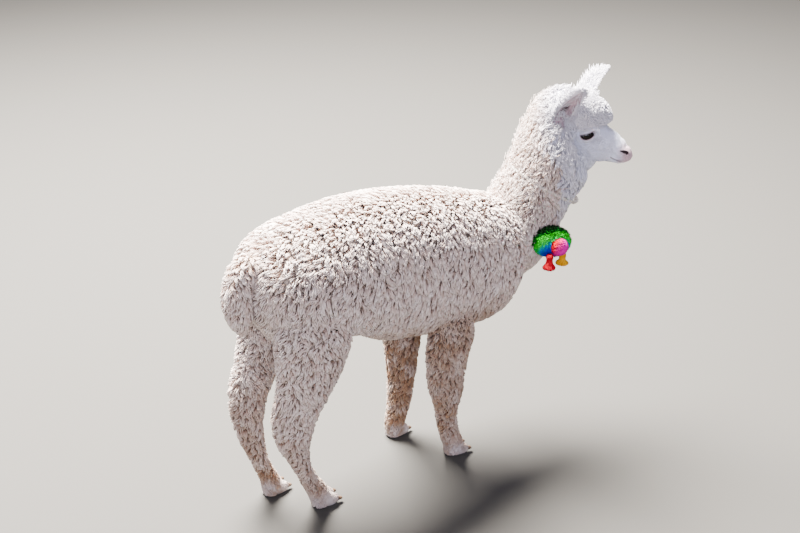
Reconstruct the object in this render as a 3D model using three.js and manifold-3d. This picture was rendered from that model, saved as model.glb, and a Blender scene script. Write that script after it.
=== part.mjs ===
// A young huacaya alpaca as a still, life-size model, standing with its head turned to its right. It wears
// a yarn pompom with two tassels and a thin rope collar. Millimetres, +Z up, the trunk facing +X, its left side +Y.
// The outline is that of the fleece, out to the tips of its locks. The body is modelled whole, then parted by cuts.
import * as THREE from 'three';
import { mergeVertices } from 'three/addons/utils/BufferGeometryUtils.js';
import Module from 'manifold-3d';

const wasm = await Module();
wasm.setup();

// ---------------------------------------------------------------- driving dimensions

const GAP = 0.4; // width of a parting cut, and the room round a piece that sits in another
const MIDDLE = new THREE.Vector3(365, -11.5, 0); // floor point under the model's middle, which becomes the origin
const FETLOCK_HEIGHT = 52; // where each foot is parted from its leg
const SHORTEST_EDGE = 0.05; // an edge that a cut leaves shorter than this is closed up
const CUT_REACH = 1400; // half the size of a cutting block, larger than any piece

// Where the head sits on the neck, and how it is turned to the animal's right. Its own frame has +X along the muzzle
// and its origin midway between the eyes.
const HEAD_AT = new THREE.Vector3(810, -89, 783);
const HEAD_TURN = THREE.MathUtils.degToRad(-60);
const HEAD_NOD = THREE.MathUtils.degToRad(-2);
const headFrame = new THREE.Matrix4()
  .makeRotationFromEuler(new THREE.Euler(0, HEAD_NOD, HEAD_TURN, 'ZYX'))
  .setPosition(HEAD_AT);

const EYE = { x: -2, y: 29.5, z: -3, radius: 17 };

// Each station of a sweep: a point of its spine, then how far the ring there reaches to the sides, the front
// and the back. The front of the trunk's and the head's rings is up, and the front of a leg's is forward.
const TRUNK = [
  [-110, 0, 572, 126, 94, 116],
  [-50, 0, 576, 140, 124, 136],
  [40, 0, 571, 148, 152, 157],
  [130, 0, 562, 154, 172, 140],
  [230, 0, 550, 156, 179, 173],
  [320, 0, 535, 150, 181, 180],
  [410, 0, 517, 140, 177, 181],
  [500, 0, 496, 130, 169, 172],
  [575, 0, 480, 122, 157, 152],
  [648, 0, 462, 98, 124, 102],
];
const NECK = [
  [540, 0, 425, 112, 118, 116],
  [612, -4, 500, 106, 112, 116],
  [660, -10, 570, 97, 106, 104],
  [692, -18, 640, 87, 109, 90],
  [718, -26, 705, 78, 117, 85],
  [742, -25, 770, 66, 62, 80],
  [764, -16, 838, 55, 42, 60],
  [795, -22, 893, 36, 30, 38],
];
const TAIL = [
  [-66, 0, 664, 34, 26, 26],
  [-105, 0, 636, 40, 34, 30],
  [-121, 0, 583, 42, 34, 36],
  [-120, 0, 530, 36, 28, 32],
  [-114, 0, 480, 22, 16, 20],
];

// Legs, from the top down. [forward, outward, height, side, front, back]; outward is mirrored for the left side.
const HIND_LEG = {
  right: [
    [20, 78, 590, 58, 96, 100],
    [12, 88, 500, 62, 98, 104],
    [0, 88, 420, 56, 82, 90],
    [-16, 82, 350, 48, 62, 76],
    [-36, 76, 292, 42, 52, 66],
    [-42, 70, 232, 36, 42, 50],
    [-34, 62, 180, 30, 31, 30],
    [-17, 56, 125, 26, 23, 22],
    [6, 52, 75, 25, 23, 24],
    [24, 50, 38, 25, 26, 25],
    [32, 50, 6, 24, 27, 25],
  ],
  left: [
    [6, 78, 590, 58, 96, 84],
    [-6, 86, 500, 60, 98, 78],
    [-26, 86, 420, 54, 84, 58],
    [-48, 82, 350, 47, 62, 54],
    [-72, 76, 288, 42, 48, 54],
    [-81, 72, 226, 37, 38, 44],
    [-76, 66, 172, 31, 27, 36],
    [-67, 61, 120, 27, 20, 27],
    [-54, 58, 75, 25, 19, 25],
    [-44, 57, 38, 25, 24, 25],
    [-40, 57, 6, 24, 26, 25],
  ],
};
const FRONT_LEG = {
  right: [
    [408, 82, 450, 44, 66, 70],
    [392, 88, 375, 44, 66, 70],
    [382, 86, 300, 40, 60, 66],
    [381, 84, 240, 36, 50, 58],
    [385, 82, 195, 34, 43, 50],
    [384, 80, 150, 29, 32, 34],
    [390, 78, 105, 27, 28, 30],
    [400, 76, 65, 26, 26, 28],
    [410, 76, 34, 25, 27, 27],
    [412, 76, 6, 24, 27, 25],
  ],
  left: [
    [396, 82, 450, 44, 66, 70],
    [382, 88, 375, 44, 66, 70],
    [370, 84, 300, 41, 60, 60],
    [364, 80, 240, 38, 50, 48],
    [362, 78, 190, 36, 43, 42],
    [358, 77, 140, 33, 38, 38],
    [352, 76, 95, 31, 35, 34],
    [344, 76, 58, 28, 30, 30],
    [338, 76, 34, 26, 28, 27],
    [338, 76, 6, 24, 27, 25],
  ],
};

// Head, in its own frame.
const FACE = [
  [-84, 0, -8, 40, 44, 48],
  [-55, 0, -12, 43, 56, 56],
  [-25, 0, -18, 42, 58, 58],
  [0, 0, -22, 39.5, 58, 54],
  [25, 0, -28, 35, 45, 49],
  [45, 0, -33, 28, 37.5, 44],
  [62, 0, -40, 24, 30.5, 37],
  [78, 0, -46, 20.5, 25, 31],
  [90, 0, -46, 17.5, 22, 23],
  [100, 0, -40, 14, 15.5, 16],
];
const TOPKNOT = [
  [-86, 0, 34, 36, 44, 40],
  [-52, 0, 42, 44, 48, 50],
  [-15, 0, 42, 49, 48, 44],
  [20, 0, 38, 42, 42, 34],
  [52, 0, 32, 30, 28, 22],
];
const CHEEKS = [
  [-78, 0, -46, 42, 34, 44],
  [-45, 0, -55, 52, 40, 54],
  [-10, 0, -60, 46, 30, 46],
  [18, 0, -55, 34, 22, 30],
];
const BROW = { at: [-1, 33, 14], size: [27, 13, 9] };
const NOSTRIL = { at: [92, 16, -42], size: [6.5, 3.6, 2.6], slant: -24 };
// The mouth's slit, from its corner to the lip's front. It is cut past the lip, and right across the muzzle.
const MOUTH = { from: [62, -62], to: [98, -66], sag: 5, height: 1.8, past: 60, across: 80 };

// An ear, in a frame with +Z up its length and +X towards its opening.
const EAR = {
  leaf: [
    [0, 0, -16, 12, 9, 9],
    [0, 0, 12, 20, 11, 11],
    [1, 0, 40, 23, 10, 11],
    [3, 0, 68, 18, 8, 9],
    [7, 0, 92, 9, 5, 6],
    [11, 0, 108, 3, 2.5, 3],
  ],
  scoop: [
    [9, 0, 6, 9, 9, 8],
    [10, 0, 34, 15, 9, 10],
    [11, 0, 60, 12, 7, 8],
    [13, 0, 84, 6, 5, 5],
  ],
};
// Each ear: where it grows from the head, how it leans forward, leans out and turns its opening outwards, in degrees,
// and its length and width as shares of the leaf's.
const EAR_SET = {
  right: { at: [-71, -48, 16], forward: 31, out: 4, open: 62, length: 1.12, width: 1.1 },
  left: { at: [-60, 42, 28], forward: 30, out: 15, open: 40, length: 1.28, width: 1.35 },
};

// Feet: two toes, each a pad with a nail. [forward, outward, height, side, up, down], from the fetlock to the tip.
const TOE_SPREAD = 12.5;
const TOE_SPLAY = 5; // degrees that each toe turns away from its neighbour
const TOE = [
  [-16, 0, 26, 12, 22, 30],
  [6, 0, 21, 13.5, 20, 26],
  [26, 0, 15, 13, 15, 20],
  [42, 0, 10, 9.5, 9, 14],
];
const NAIL = [
  [26, 0, 17, 5.6, 4.6, 8],
  [38, 0, 13, 5.2, 4.2, 7],
  [47, 0, 8.5, 3.8, 3.2, 4.2],
];
const FEET = {
  hind_right: { at: [34, -50], toe_out: 6 },
  hind_left: { at: [-40, 57], toe_out: 4 },
  front_right: { at: [412, -76], toe_out: 8 },
  front_left: { at: [338, 76], toe_out: 6 },
};

// Where the legs are parted from the trunk: the cut's inner edge near the midline, and its outer edge up the flank.
const HIND_PART = { from: -190, to: 138, inner: 3, innerHeight: 402, outer: 240, outerHeight: 690 };
const FRONT_PART = { from: 300, to: 492, inner: 3, innerHeight: 346, outer: 240, outerHeight: 560 };
const NECK_PART = { at: new THREE.Vector3(576, 0, 530), along: new THREE.Vector3(0.84, 0, 0.54) };
const HEAD_PART = { at: new THREE.Vector3(-60, 0, -40), along: new THREE.Vector3(0.93, 0, 0.37) };

// What it wears.
const COLLAR = { station: 0.47, rope: 4, sink: 2, tilt: 14, steps: 16 };
const KNOT_RADIUS = 11;
// The pompom's own frame has its face towards -Y, and hangs on the chest with its face to the animal's right.
const POMPOM = { at: [667, -121, 538.5], turn: -32, radius: 53, height: 43, depth: 34 };
const POMPOM_CORE = { at: [15, -24, -4], radius: 21 };
const TASSELS = {
  red: { at: [-8, -31, -20], length: 42 },
  yellow: { at: [24, -27, -20], length: 31 },
};
// A tassel's width along its length: [share of the length, radius].
const TASSEL_PROFILE = [
  [0, 5],
  [0.12, 8.5],
  [0.3, 7.5],
  [0.62, 9.5],
  [0.92, 18],
  [1, 17],
];

// ---------------------------------------------------------------- materials

const finish = (color, roughness) => new THREE.MeshStandardMaterial({ color, roughness, metalness: 0 });
const MATERIALS = {
  wool: finish(0xe9e2d8, 0.95),
  face: finish(0xece8e6, 0.85),
  foot: finish(0xd9c9b4, 0.9),
  ear: finish(0xe3d6d2, 0.9),
  eye: finish(0x14100f, 0.12),
  nail: finish(0x8a7563, 0.55),
  rope: finish(0xdcd6cc, 0.85),
  green: finish(0x1fae4a, 0.9),
  magenta: finish(0xe8127f, 0.9),
  red: finish(0xe01238, 0.9),
  yellow: finish(0xf0b418, 0.9),
};

// ---------------------------------------------------------------- solids

// A geometry as a manifold-3d solid, its shared vertices merged.
function solidOf(geometry) {
  const plain = geometry.clone();
  plain.deleteAttribute('normal');
  plain.deleteAttribute('uv');
  const merged = mergeVertices(plain, 1e-3);
  return new wasm.Manifold(
    new wasm.Mesh({
      numProp: 3,
      vertProperties: new Float32Array(merged.attributes.position.array),
      triVerts: new Uint32Array(merged.index.array),
    }),
  );
}

// Makes one corner of the two ends of every very short edge, so that the body stays closed when it is rounded.
function withoutShortEdges(positions, triangles) {
  const keeper = Array.from({ length: positions.length / 3 }, (_, corner) => corner);
  const kept = (corner) => (keeper[corner] === corner ? corner : kept(keeper[corner]));
  const place = (corner) => new THREE.Vector3().fromArray(positions, 3 * corner);
  for (let first = 0; first < triangles.length; first += 3) {
    for (const [a, b] of [[0, 1], [1, 2], [2, 0]]) {
      const [from, to] = [triangles[first + a], triangles[first + b]];
      if (place(from).distanceTo(place(to)) < SHORTEST_EDGE) keeper[kept(from)] = kept(to);
    }
  }
  const remaining = [];
  for (let first = 0; first < triangles.length; first += 3) {
    const corners = [0, 1, 2].map((k) => kept(triangles[first + k]));
    if (new Set(corners).size === 3) remaining.push(...corners);
  }
  return remaining;
}

function geometryOf(solid) {
  const { vertProperties, triVerts, numProp } = solid.getMesh();
  const geometry = new THREE.BufferGeometry();
  geometry.setAttribute('position', new THREE.BufferAttribute(new Float32Array(vertProperties), numProp));
  geometry.setIndex(withoutShortEdges(vertProperties, triVerts));
  geometry.computeVertexNormals();
  return geometry;
}

const join = (solids) => solids.reduce((whole, next) => whole.add(next));
const curveThrough = (points) => new THREE.CatmullRomCurve3(points, false, 'catmullrom');
const spineOf = (stations) => curveThrough(stations.map(([x, y, z]) => new THREE.Vector3(x, y, z)));
const reachOf = (stations) => curveThrough(stations.map(([, , , ...reach]) => new THREE.Vector3(...reach)));
const within = (value, power) => Math.sign(value) * Math.abs(value) ** power;

// A closed skin of rings carried along a spine. Spine and reaches follow Catmull-Rom curves through the stations.
// round gives the share of the spine over which each end is rounded off; square over 2 fills out the ring's corners.
// front turns from the first vector to the second along the spine. grow makes it larger all round, for a socket.
function sweep(stations, { rings, around, round, front, square = 2, grow = 0 }) {
  const spine = spineOf(stations);
  const reach = reachOf(stations);
  const levels = [];
  for (let i = 0; i <= rings; i++) {
    const t = i / rings;
    levels.push({ t, scale: 1 });
  }
  // Inside a rounded end the rings close up like those of a dome.
  for (const level of levels) {
    const fromStart = round[0] ? Math.min(level.t / round[0], 1) : 1;
    const fromEnd = round[1] ? Math.min((1 - level.t) / round[1], 1) : 1;
    if (fromStart < 1) {
      level.scale = Math.sin(fromStart * Math.PI / 2);
      level.t = round[0] * (1 - Math.cos(fromStart * Math.PI / 2));
    } else if (fromEnd < 1) {
      level.scale = Math.sin(fromEnd * Math.PI / 2);
      level.t = 1 - round[1] * (1 - Math.cos(fromEnd * Math.PI / 2));
    }
  }
  const positions = [];
  const index = [];
  const ringStarts = [];
  for (const { t, scale } of levels) {
    const tangent = spine.getTangent(t);
    const centre = spine.getPoint(t).addScaledVector(tangent, grow * (2 * t - 1));
    const side = front[0].clone().lerp(front[1], t).cross(tangent).normalize();
    const ahead = tangent.clone().cross(side);
    const size = reach.getPoint(t).multiplyScalar(scale).addScalar(grow);
    if (scale === 0) continue;
    ringStarts.push(positions.length / 3);
    for (let j = 0; j < around; j++) {
      const angle = (j / around) * Math.PI * 2;
      const across = within(Math.cos(angle), 2 / square) * size.x;
      const along = within(Math.sin(angle), 2 / square) * (Math.sin(angle) > 0 ? size.y : size.z);
      positions.push(...centre.clone().addScaledVector(side, across).addScaledVector(ahead, along).toArray());
    }
  }
  for (let k = 0; k + 1 < ringStarts.length; k++) {
    for (let j = 0; j < around; j++) {
      const next = (j + 1) % around;
      const [a, b] = [ringStarts[k] + j, ringStarts[k] + next];
      const [c, d] = [ringStarts[k + 1] + next, ringStarts[k + 1] + j];
      index.push(a, b, c, a, c, d);
    }
  }
  const first = positions.length / 3;
  for (const [t, direction] of [[0, -1], [1, 1]]) {
    positions.push(...spine.getPoint(t).addScaledVector(spine.getTangent(t), grow * direction).toArray());
  }
  const last = ringStarts[ringStarts.length - 1];
  for (let j = 0; j < around; j++) {
    const next = (j + 1) % around;
    index.push(first, next, j);
    index.push(first + 1, last + j, last + next);
  }
  const geometry = new THREE.BufferGeometry();
  geometry.setAttribute('position', new THREE.Float32BufferAttribute(positions, 3));
  geometry.setIndex(index);
  return geometry;
}

const UP = new THREE.Vector3(0, 0, 1);
const AHEAD = new THREE.Vector3(1, 0, 0);
const FACING = AHEAD.clone().applyAxisAngle(UP, HEAD_TURN); // the way the head faces

// A block that fills everything on one side of a plane.
function halfSpace(at, normal, frame = new THREE.Matrix4(), grow = 0) {
  const block = new THREE.BoxGeometry(2 * CUT_REACH, 2 * CUT_REACH, CUT_REACH).translate(0, 0, CUT_REACH / 2 - grow);
  const turn = new THREE.Quaternion().setFromUnitVectors(UP, normal.clone().normalize());
  return solidOf(block.applyQuaternion(turn).translate(...at.toArray()).applyMatrix4(frame));
}

// The prism that holds one leg: straight sides, and a top that slopes up from the midline to the flank.
function legRegion(part, side, grow) {
  const corners = [
    [part.inner - grow, -CUT_REACH],
    [part.inner - grow, part.innerHeight + grow],
    [part.outer, part.outerHeight + grow],
    [part.outer, -CUT_REACH],
  ];
  const outline = new THREE.Shape(corners.map(([y, z]) => new THREE.Vector2(side * y, z)));
  const length = part.to - part.from + 2 * grow;
  const prism = new THREE.ExtrudeGeometry(outline, { depth: length, bevelEnabled: false });
  const toRow = new THREE.Matrix4().makeBasis(new THREE.Vector3(0, 1, 0), UP, AHEAD);
  return solidOf(prism.applyMatrix4(toRow).translate(part.from - grow, 0, 0));
}

function ellipsoid(at, size, segments = 9) {
  const [x, y, z] = size;
  return new THREE.SphereGeometry(1, segments, segments * 0.6).rotateX(Math.PI / 2).scale(x, y, z).translate(...at);
}

// Stations given outward are set on one side of the body.
const mirrored = (stations, side) => stations.map(([x, y, ...rest]) => [x, side * y, ...rest]);

// ---------------------------------------------------------------- body

function trunkSolid() {
  return solidOf(sweep(TRUNK, { rings: 16, around: 20, round: [0.17, 0.12], front: [UP, UP], square: 2.15 }));
}

function neckSolid() {
  return solidOf(sweep(NECK, { rings: 11, around: 16, round: [0.2, 0.2], front: [AHEAD, FACING] }));
}

function legSolid(stations, side) {
  return solidOf(sweep(mirrored(stations, side), { rings: 12, around: 10, round: [0.16, 0], front: [AHEAD, AHEAD] }));
}

function footSolid({ at: [x, y], toe_out }) {
  const side = Math.sign(y);
  const toes = [-1, 1].map((which) => {
    const toe = sweep(TOE, { rings: 4, around: 8, round: [0.25, 0.35], front: [UP, UP] });
    const turn = THREE.MathUtils.degToRad(side * toe_out + which * TOE_SPLAY);
    return solidOf(toe.translate(0, which * TOE_SPREAD, 0).rotateZ(turn).translate(x, y, 0));
  });
  return join(toes);
}

function nailGeometry({ at: [x, y], toe_out }, which, grow = 0) {
  const side = Math.sign(y);
  const nail = sweep(NAIL, { rings: 4, around: 6, round: [0.2, 0.3], front: [UP, UP], grow });
  const turn = THREE.MathUtils.degToRad(side * toe_out + which * TOE_SPLAY);
  return nail.translate(0, which * TOE_SPREAD, 0).rotateZ(turn).translate(x, y, 0);
}

function tailSolid(grow = 0) {
  return solidOf(sweep(TAIL, { rings: 9, around: 12, round: [0.2, 0.3], front: [AHEAD, AHEAD], grow }));
}

// ---------------------------------------------------------------- head

function earGeometry(side, stations, options) {
  const { at, forward, out, open, length, width } = EAR_SET[side];
  const sign = side === 'left' ? 1 : -1;
  const { degToRad } = THREE.MathUtils;
  const turn = new THREE.Matrix4()
    .makeRotationX(degToRad(-sign * out))
    .multiply(new THREE.Matrix4().makeRotationY(degToRad(forward)))
    .multiply(new THREE.Matrix4().makeRotationZ(degToRad(sign * open)))
    .multiply(new THREE.Matrix4().makeScale(width, width, length))
    .setPosition(...at);
  return sweep(stations, options).applyMatrix4(turn).applyMatrix4(headFrame);
}

function earSolid(side, grow = 0) {
  const leaf = { rings: 8, around: 10, round: [0, 0.2], front: [AHEAD, AHEAD], grow };
  const hollow = { rings: 6, around: 8, round: [0.3, 0.4], front: [AHEAD, AHEAD] };
  const blade = solidOf(earGeometry(side, EAR.leaf, leaf));
  return grow ? blade : blade.subtract(solidOf(earGeometry(side, EAR.scoop, hollow)));
}

function eyeGeometry(sign, grow = 0) {
  return new THREE.SphereGeometry(EYE.radius + grow, 12, 8)
    .rotateX(Math.PI / 2)
    .translate(EYE.x, sign * EYE.y, EYE.z)
    .applyMatrix4(headFrame);
}

// The slit of the closed mouth, which sags between the lip's front and the corner.
function mouthCut() {
  const { from, to, sag, height, past, across } = MOUTH;
  const outline = new THREE.Shape();
  outline.moveTo(...from);
  outline.quadraticCurveTo((from[0] + to[0]) / 2, from[1] - sag, to[0] + past, to[1]);
  outline.lineTo(to[0] + past, to[1] - height);
  outline.quadraticCurveTo((from[0] + to[0]) / 2, from[1] - sag - height, from[0], from[1]);
  const slit = new THREE.ExtrudeGeometry(outline, { depth: across, bevelEnabled: false, curveSegments: 5 });
  return solidOf(slit.translate(0, 0, -across / 2).rotateX(Math.PI / 2).applyMatrix4(headFrame));
}

function nostrilCut(sign) {
  const [x, y, z] = NOSTRIL.at;
  const slit = ellipsoid([0, 0, 0], NOSTRIL.size, 8).rotateY(THREE.MathUtils.degToRad(-NOSTRIL.slant));
  return solidOf(slit.translate(x, sign * y, z).applyMatrix4(headFrame));
}

function headSolid() {
  const along = { front: [UP, UP], square: 2.2 };
  const parts = [
    sweep(FACE, { ...along, rings: 11, around: 16, round: [0.16, 0.1] }),
    sweep(TOPKNOT, { ...along, rings: 6, around: 12, round: [0.35, 0.35] }),
    sweep(CHEEKS, { ...along, rings: 6, around: 10, round: [0.4, 0.4] }),
  ];
  for (const sign of [-1, 1]) {
    const [x, y, z] = BROW.at;
    parts.push(ellipsoid([x, sign * y, z], BROW.size));
  }
  return join(parts.map((part) => solidOf(part.applyMatrix4(headFrame))));
}

// ---------------------------------------------------------------- what it wears

// The collar's loop is carried round the neck's own ring at one height, sunk into the fleece.
function collarLoop(grow) {
  const centre = spineOf(NECK).getPoint(COLLAR.station);
  const tangent = spineOf(NECK).getTangent(COLLAR.station);
  const reach = reachOf(NECK).getPoint(COLLAR.station);
  const side = AHEAD.clone().lerp(FACING, COLLAR.station).cross(tangent).normalize();
  const ahead = tangent.clone().cross(side);
  const points = [];
  for (let j = 0; j < 2 * COLLAR.steps; j++) {
    const angle = (j / COLLAR.steps) * Math.PI;
    const across = Math.cos(angle) * (reach.x - COLLAR.sink);
    const along = Math.sin(angle) * ((Math.sin(angle) > 0 ? reach.y : reach.z) - COLLAR.sink);
    const drop = -Math.sin(angle) * COLLAR.tilt;
    points.push(
      centre.clone().addScaledVector(side, across).addScaledVector(ahead, along).addScaledVector(tangent, drop),
    );
  }
  const loop = new THREE.CatmullRomCurve3(points, true);
  const section = new THREE.Shape().absarc(0, 0, COLLAR.rope + grow, 0, Math.PI * 2);
  const rope = new THREE.ExtrudeGeometry(section, { extrudePath: loop, steps: COLLAR.steps, curveSegments: 3 });
  const throat = centre.clone().addScaledVector(ahead, reach.y - COLLAR.sink).addScaledVector(tangent, -COLLAR.tilt);
  return { rope, throat };
}

function collarSolid(grow = 0) {
  const { rope, throat } = collarLoop(grow);
  const knot = new THREE.SphereGeometry(KNOT_RADIUS + grow, 10, 6).translate(...throat.toArray());
  return solidOf(rope).add(solidOf(knot));
}

const pompomFrame = new THREE.Matrix4()
  .makeRotationZ(THREE.MathUtils.degToRad(POMPOM.turn))
  .setPosition(...POMPOM.at);

function pompomSolid(grow = 0) {
  const { radius, height, depth } = POMPOM;
  return solidOf(ellipsoid([0, 0, 0], [radius + grow, depth + grow, height + grow], 12).applyMatrix4(pompomFrame));
}

function coreSolid(grow = 0) {
  const reach = POMPOM_CORE.radius + grow;
  return solidOf(ellipsoid(POMPOM_CORE.at, [reach, reach, reach], 10).applyMatrix4(pompomFrame));
}

// A tassel hangs from under the pompom and its core, and its top is cut to fit them.
function tasselSolid({ at, length }) {
  const outline = TASSEL_PROFILE.map(([share, radius]) => new THREE.Vector2(radius, -share * length)).reverse();
  const closed = [new THREE.Vector2(0, -length), ...outline, new THREE.Vector2(0, 0)];
  const tassel = new THREE.LatheGeometry(closed, 10).rotateX(Math.PI / 2);
  return solidOf(tassel.translate(...at).applyMatrix4(pompomFrame)).subtract(pompomSolid(GAP)).subtract(coreSolid(GAP));
}

// ---------------------------------------------------------------- the model

const root = new THREE.Group();

function addPiece(name, solid, material) {
  const mesh = new THREE.Mesh(geometryOf(solid), material);
  mesh.name = name;
  mesh.position.copy(MIDDLE).negate();
  root.add(mesh);
}

const legs = {};
for (const [end, sets] of [['hind', HIND_LEG], ['front', FRONT_LEG]]) {
  for (const sign of [-1, 1]) {
    const hand = sign < 0 ? 'right' : 'left';
    const name = `${end}_${hand}`;
    legs[name] = {
      sign,
      part: end === 'hind' ? HIND_PART : FRONT_PART,
      solid: legSolid(sets[hand], sign).add(footSolid(FEET[name])),
    };
  }
}
const aboveFloor = halfSpace(new THREE.Vector3(), UP);
const body = join([trunkSolid(), neckSolid(), headSolid(), ...Object.values(legs).map((leg) => leg.solid)]);
const sockets = join([earSolid('right', GAP), earSolid('left', GAP), pompomSolid(GAP), tailSolid(GAP)]);
const whole = body.intersect(aboveFloor).subtract(sockets);

const headSide = (grow) => halfSpace(HEAD_PART.at, HEAD_PART.along, headFrame, grow);
const neckSide = (grow) => halfSpace(NECK_PART.at, NECK_PART.along, new THREE.Matrix4(), grow);

// Legs and feet.
let trunk = whole.subtract(neckSide(GAP));
for (const [name, { sign, part }] of Object.entries(legs)) {
  const leg = whole.subtract(neckSide(GAP)).intersect(legRegion(part, sign, 0));
  trunk = trunk.subtract(legRegion(part, sign, GAP));
  const fetlock = new THREE.Vector3(0, 0, FETLOCK_HEIGHT);
  addPiece(`${name}_leg`, leg.intersect(halfSpace(fetlock, UP)), MATERIALS.wool);
  const belowFetlock = halfSpace(fetlock, UP.clone().negate(), new THREE.Matrix4(), -GAP);
  let foot = leg.intersect(belowFetlock);
  for (const which of [-1, 1]) {
    const place = which * sign < 0 ? 'inner' : 'outer';
    foot = foot.subtract(solidOf(nailGeometry(FEET[name], which, GAP)));
    const nail = solidOf(nailGeometry(FEET[name], which)).intersect(aboveFloor);
    addPiece(`${name}_nail_${place}`, nail, MATERIALS.nail);
  }
  addPiece(`${name}_foot`, foot, MATERIALS.foot);
}

// Trunk and tail.
addPiece('trunk', trunk, MATERIALS.wool);
addPiece('tail', tailSolid(), MATERIALS.wool);

// Neck, collar and pompom.
const neck = whole.intersect(neckSide(0)).subtract(headSide(GAP));
addPiece('neck', neck.subtract(collarSolid(GAP)), MATERIALS.wool);
addPiece('rope_collar', collarSolid(), MATERIALS.rope);
addPiece('pompom', pompomSolid().subtract(coreSolid(GAP)), MATERIALS.green);
addPiece('pompom_core', coreSolid(), MATERIALS.magenta);
for (const [color, tassel] of Object.entries(TASSELS)) {
  addPiece(`tassel_${color}`, tasselSolid(tassel), MATERIALS[color]);
}

// Head, eyes and ears.
let head = whole.intersect(neckSide(0)).intersect(headSide(0)).subtract(mouthCut());
for (const sign of [-1, 1]) {
  const hand = sign < 0 ? 'right' : 'left';
  head = head.subtract(nostrilCut(sign)).subtract(solidOf(eyeGeometry(sign, GAP)));
  addPiece(`eye_${hand}`, solidOf(eyeGeometry(sign)), MATERIALS.eye);
  addPiece(`ear_${hand}`, earSolid(hand), MATERIALS.ear);
}
addPiece('head', head, MATERIALS.face);

export default root;
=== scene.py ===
"""A young huacaya alpaca, dressed: skin, crimped fleece, face, eyes, ears, nails and the yarn ornament it wears.

The animal stands with its head turned to its right. One skin lies under the coat, and the coat is locks of
strands that grow from it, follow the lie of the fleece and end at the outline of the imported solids.
Metres, +X forwards along the trunk, +Y to the animal's left, +Z up.
"""

import logging
import math
from collections.abc import Callable, Sequence
from dataclasses import dataclass, field
from enum import Enum
from functools import partial
from typing import NamedTuple

import bpy
import numpy as np
from mathutils import Matrix, Vector


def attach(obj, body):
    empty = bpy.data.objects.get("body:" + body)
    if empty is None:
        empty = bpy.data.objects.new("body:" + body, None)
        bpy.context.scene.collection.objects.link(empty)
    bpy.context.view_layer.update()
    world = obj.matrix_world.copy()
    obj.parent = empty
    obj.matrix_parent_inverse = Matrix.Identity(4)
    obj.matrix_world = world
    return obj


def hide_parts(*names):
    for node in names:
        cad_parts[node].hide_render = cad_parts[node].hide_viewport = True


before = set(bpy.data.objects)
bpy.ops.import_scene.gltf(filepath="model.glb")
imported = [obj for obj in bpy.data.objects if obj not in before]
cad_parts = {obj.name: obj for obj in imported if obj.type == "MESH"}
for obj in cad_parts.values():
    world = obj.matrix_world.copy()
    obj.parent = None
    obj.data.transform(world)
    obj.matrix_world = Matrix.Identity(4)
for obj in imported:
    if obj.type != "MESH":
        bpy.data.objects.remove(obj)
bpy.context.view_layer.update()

Array = np.ndarray
Piece = bpy.types.Object
Mesh = bpy.types.Mesh
Material = bpy.types.Material
Tree = bpy.types.NodeTree
Node = bpy.types.Node
Socket = bpy.types.NodeSocket
Rng = np.random.Generator
Row = Sequence[float]
Lie = Callable[[Array], Array]  # from roots to the directions that hair lies in
Keep = Callable[[Array, Array], Array]  # from roots and a random share for each to whether they bear hair
log = logging.getLogger("alpaca")

MM = 0.001
LEGS = ("hind_right", "hind_left", "front_right", "front_left")
MIDDLE = np.array([365.0, -11.5, 0.0])  # mm, the floor point under the model's middle
SEED = 4737
LEAST_REACH = 3 * MM  # no inset makes a ring smaller
SLOPE_STEP = 1e-4  # of a spine, over which its direction is taken

UP = np.array([0.0, 0.0, 1.0])
AHEAD = np.array([1.0, 0.0, 0.0])
HEAD_AT = np.array([810.0, -89.0, 783.0])
HEAD_TURN = math.radians(-60)
HEAD_NOD = math.radians(-2)
FACING = np.array([math.cos(HEAD_TURN), math.sin(HEAD_TURN), 0.0])


# ---- small maths


def smoothstep(low: float, high: float, value: Array) -> Array:
    """Rises from 0 at low to 1 at high as 3x^2 - 2x^3; low may be above high, and then it falls."""
    x = np.clip((np.asarray(value, float) - low) / (high - low), 0, 1)
    return x * x * (3 - 2 * x)


def unit(vectors: Array) -> Array:
    """Each row over its own length."""
    length = np.linalg.norm(vectors, axis=-1, keepdims=True)
    return vectors / np.maximum(length, 1e-12)


def turned(vectors: Array, axes: Array, angle: Array) -> Array:
    """Each vector turned about its unit axis: v cos + (axis x v) sin + axis (axis.v)(1 - cos)."""
    c = np.cos(angle)[..., None]
    s = np.sin(angle)[..., None]
    along = np.sum(vectors * axes, -1, keepdims=True)
    return vectors * c + np.cross(axes, vectors) * s + axes * along * (1 - c)


def through(points: Array, t: Array) -> Array:
    """The uniform Catmull-Rom curve through points at t in 0..1.

    Between two points it is the cubic Hermite whose end slopes are half the chord between their neighbours, and
    past each end the row of points goes on in a straight line.

    Args:
        points: n rows of numbers.
        t: shares of the curve.

    Returns:
        One row for each t.
    """
    padded = np.vstack([2 * points[0] - points[1], points, 2 * points[-1] - points[-2]])
    place = np.clip(t, 0, 1) * (len(points) - 1)
    i = np.minimum(place.astype(int), len(points) - 2)
    w = (place - i)[..., None]
    p0, p1, p2, p3 = (padded[i + k] for k in range(4))
    rise = w**3 - 2 * w**2 + w
    fall = w**3 - w**2
    blend = 3 * w**2 - 2 * w**3
    return (1 - blend) * p1 + blend * p2 + rise * 0.5 * (p2 - p0) + fall * 0.5 * (p3 - p1)


def turns(angle: Array) -> Array:
    """Angles as shares of a full turn, 0 to 1."""
    return (angle / math.tau) % 1


def rotation(axis: str, angle: float) -> Array:
    """The 4x4 matrix of a turn about a main axis."""
    return np.array(Matrix.Rotation(angle, 4, axis))


def shift(x: float, y: float, z: float) -> Array:
    """The 4x4 matrix of a move."""
    return np.array(Matrix.Translation((x, y, z)))


def carried(matrix: Array, points: Array) -> Array:
    """Points through a 4x4 matrix."""
    return points @ matrix[:3, :3].T + matrix[:3, 3]


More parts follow.
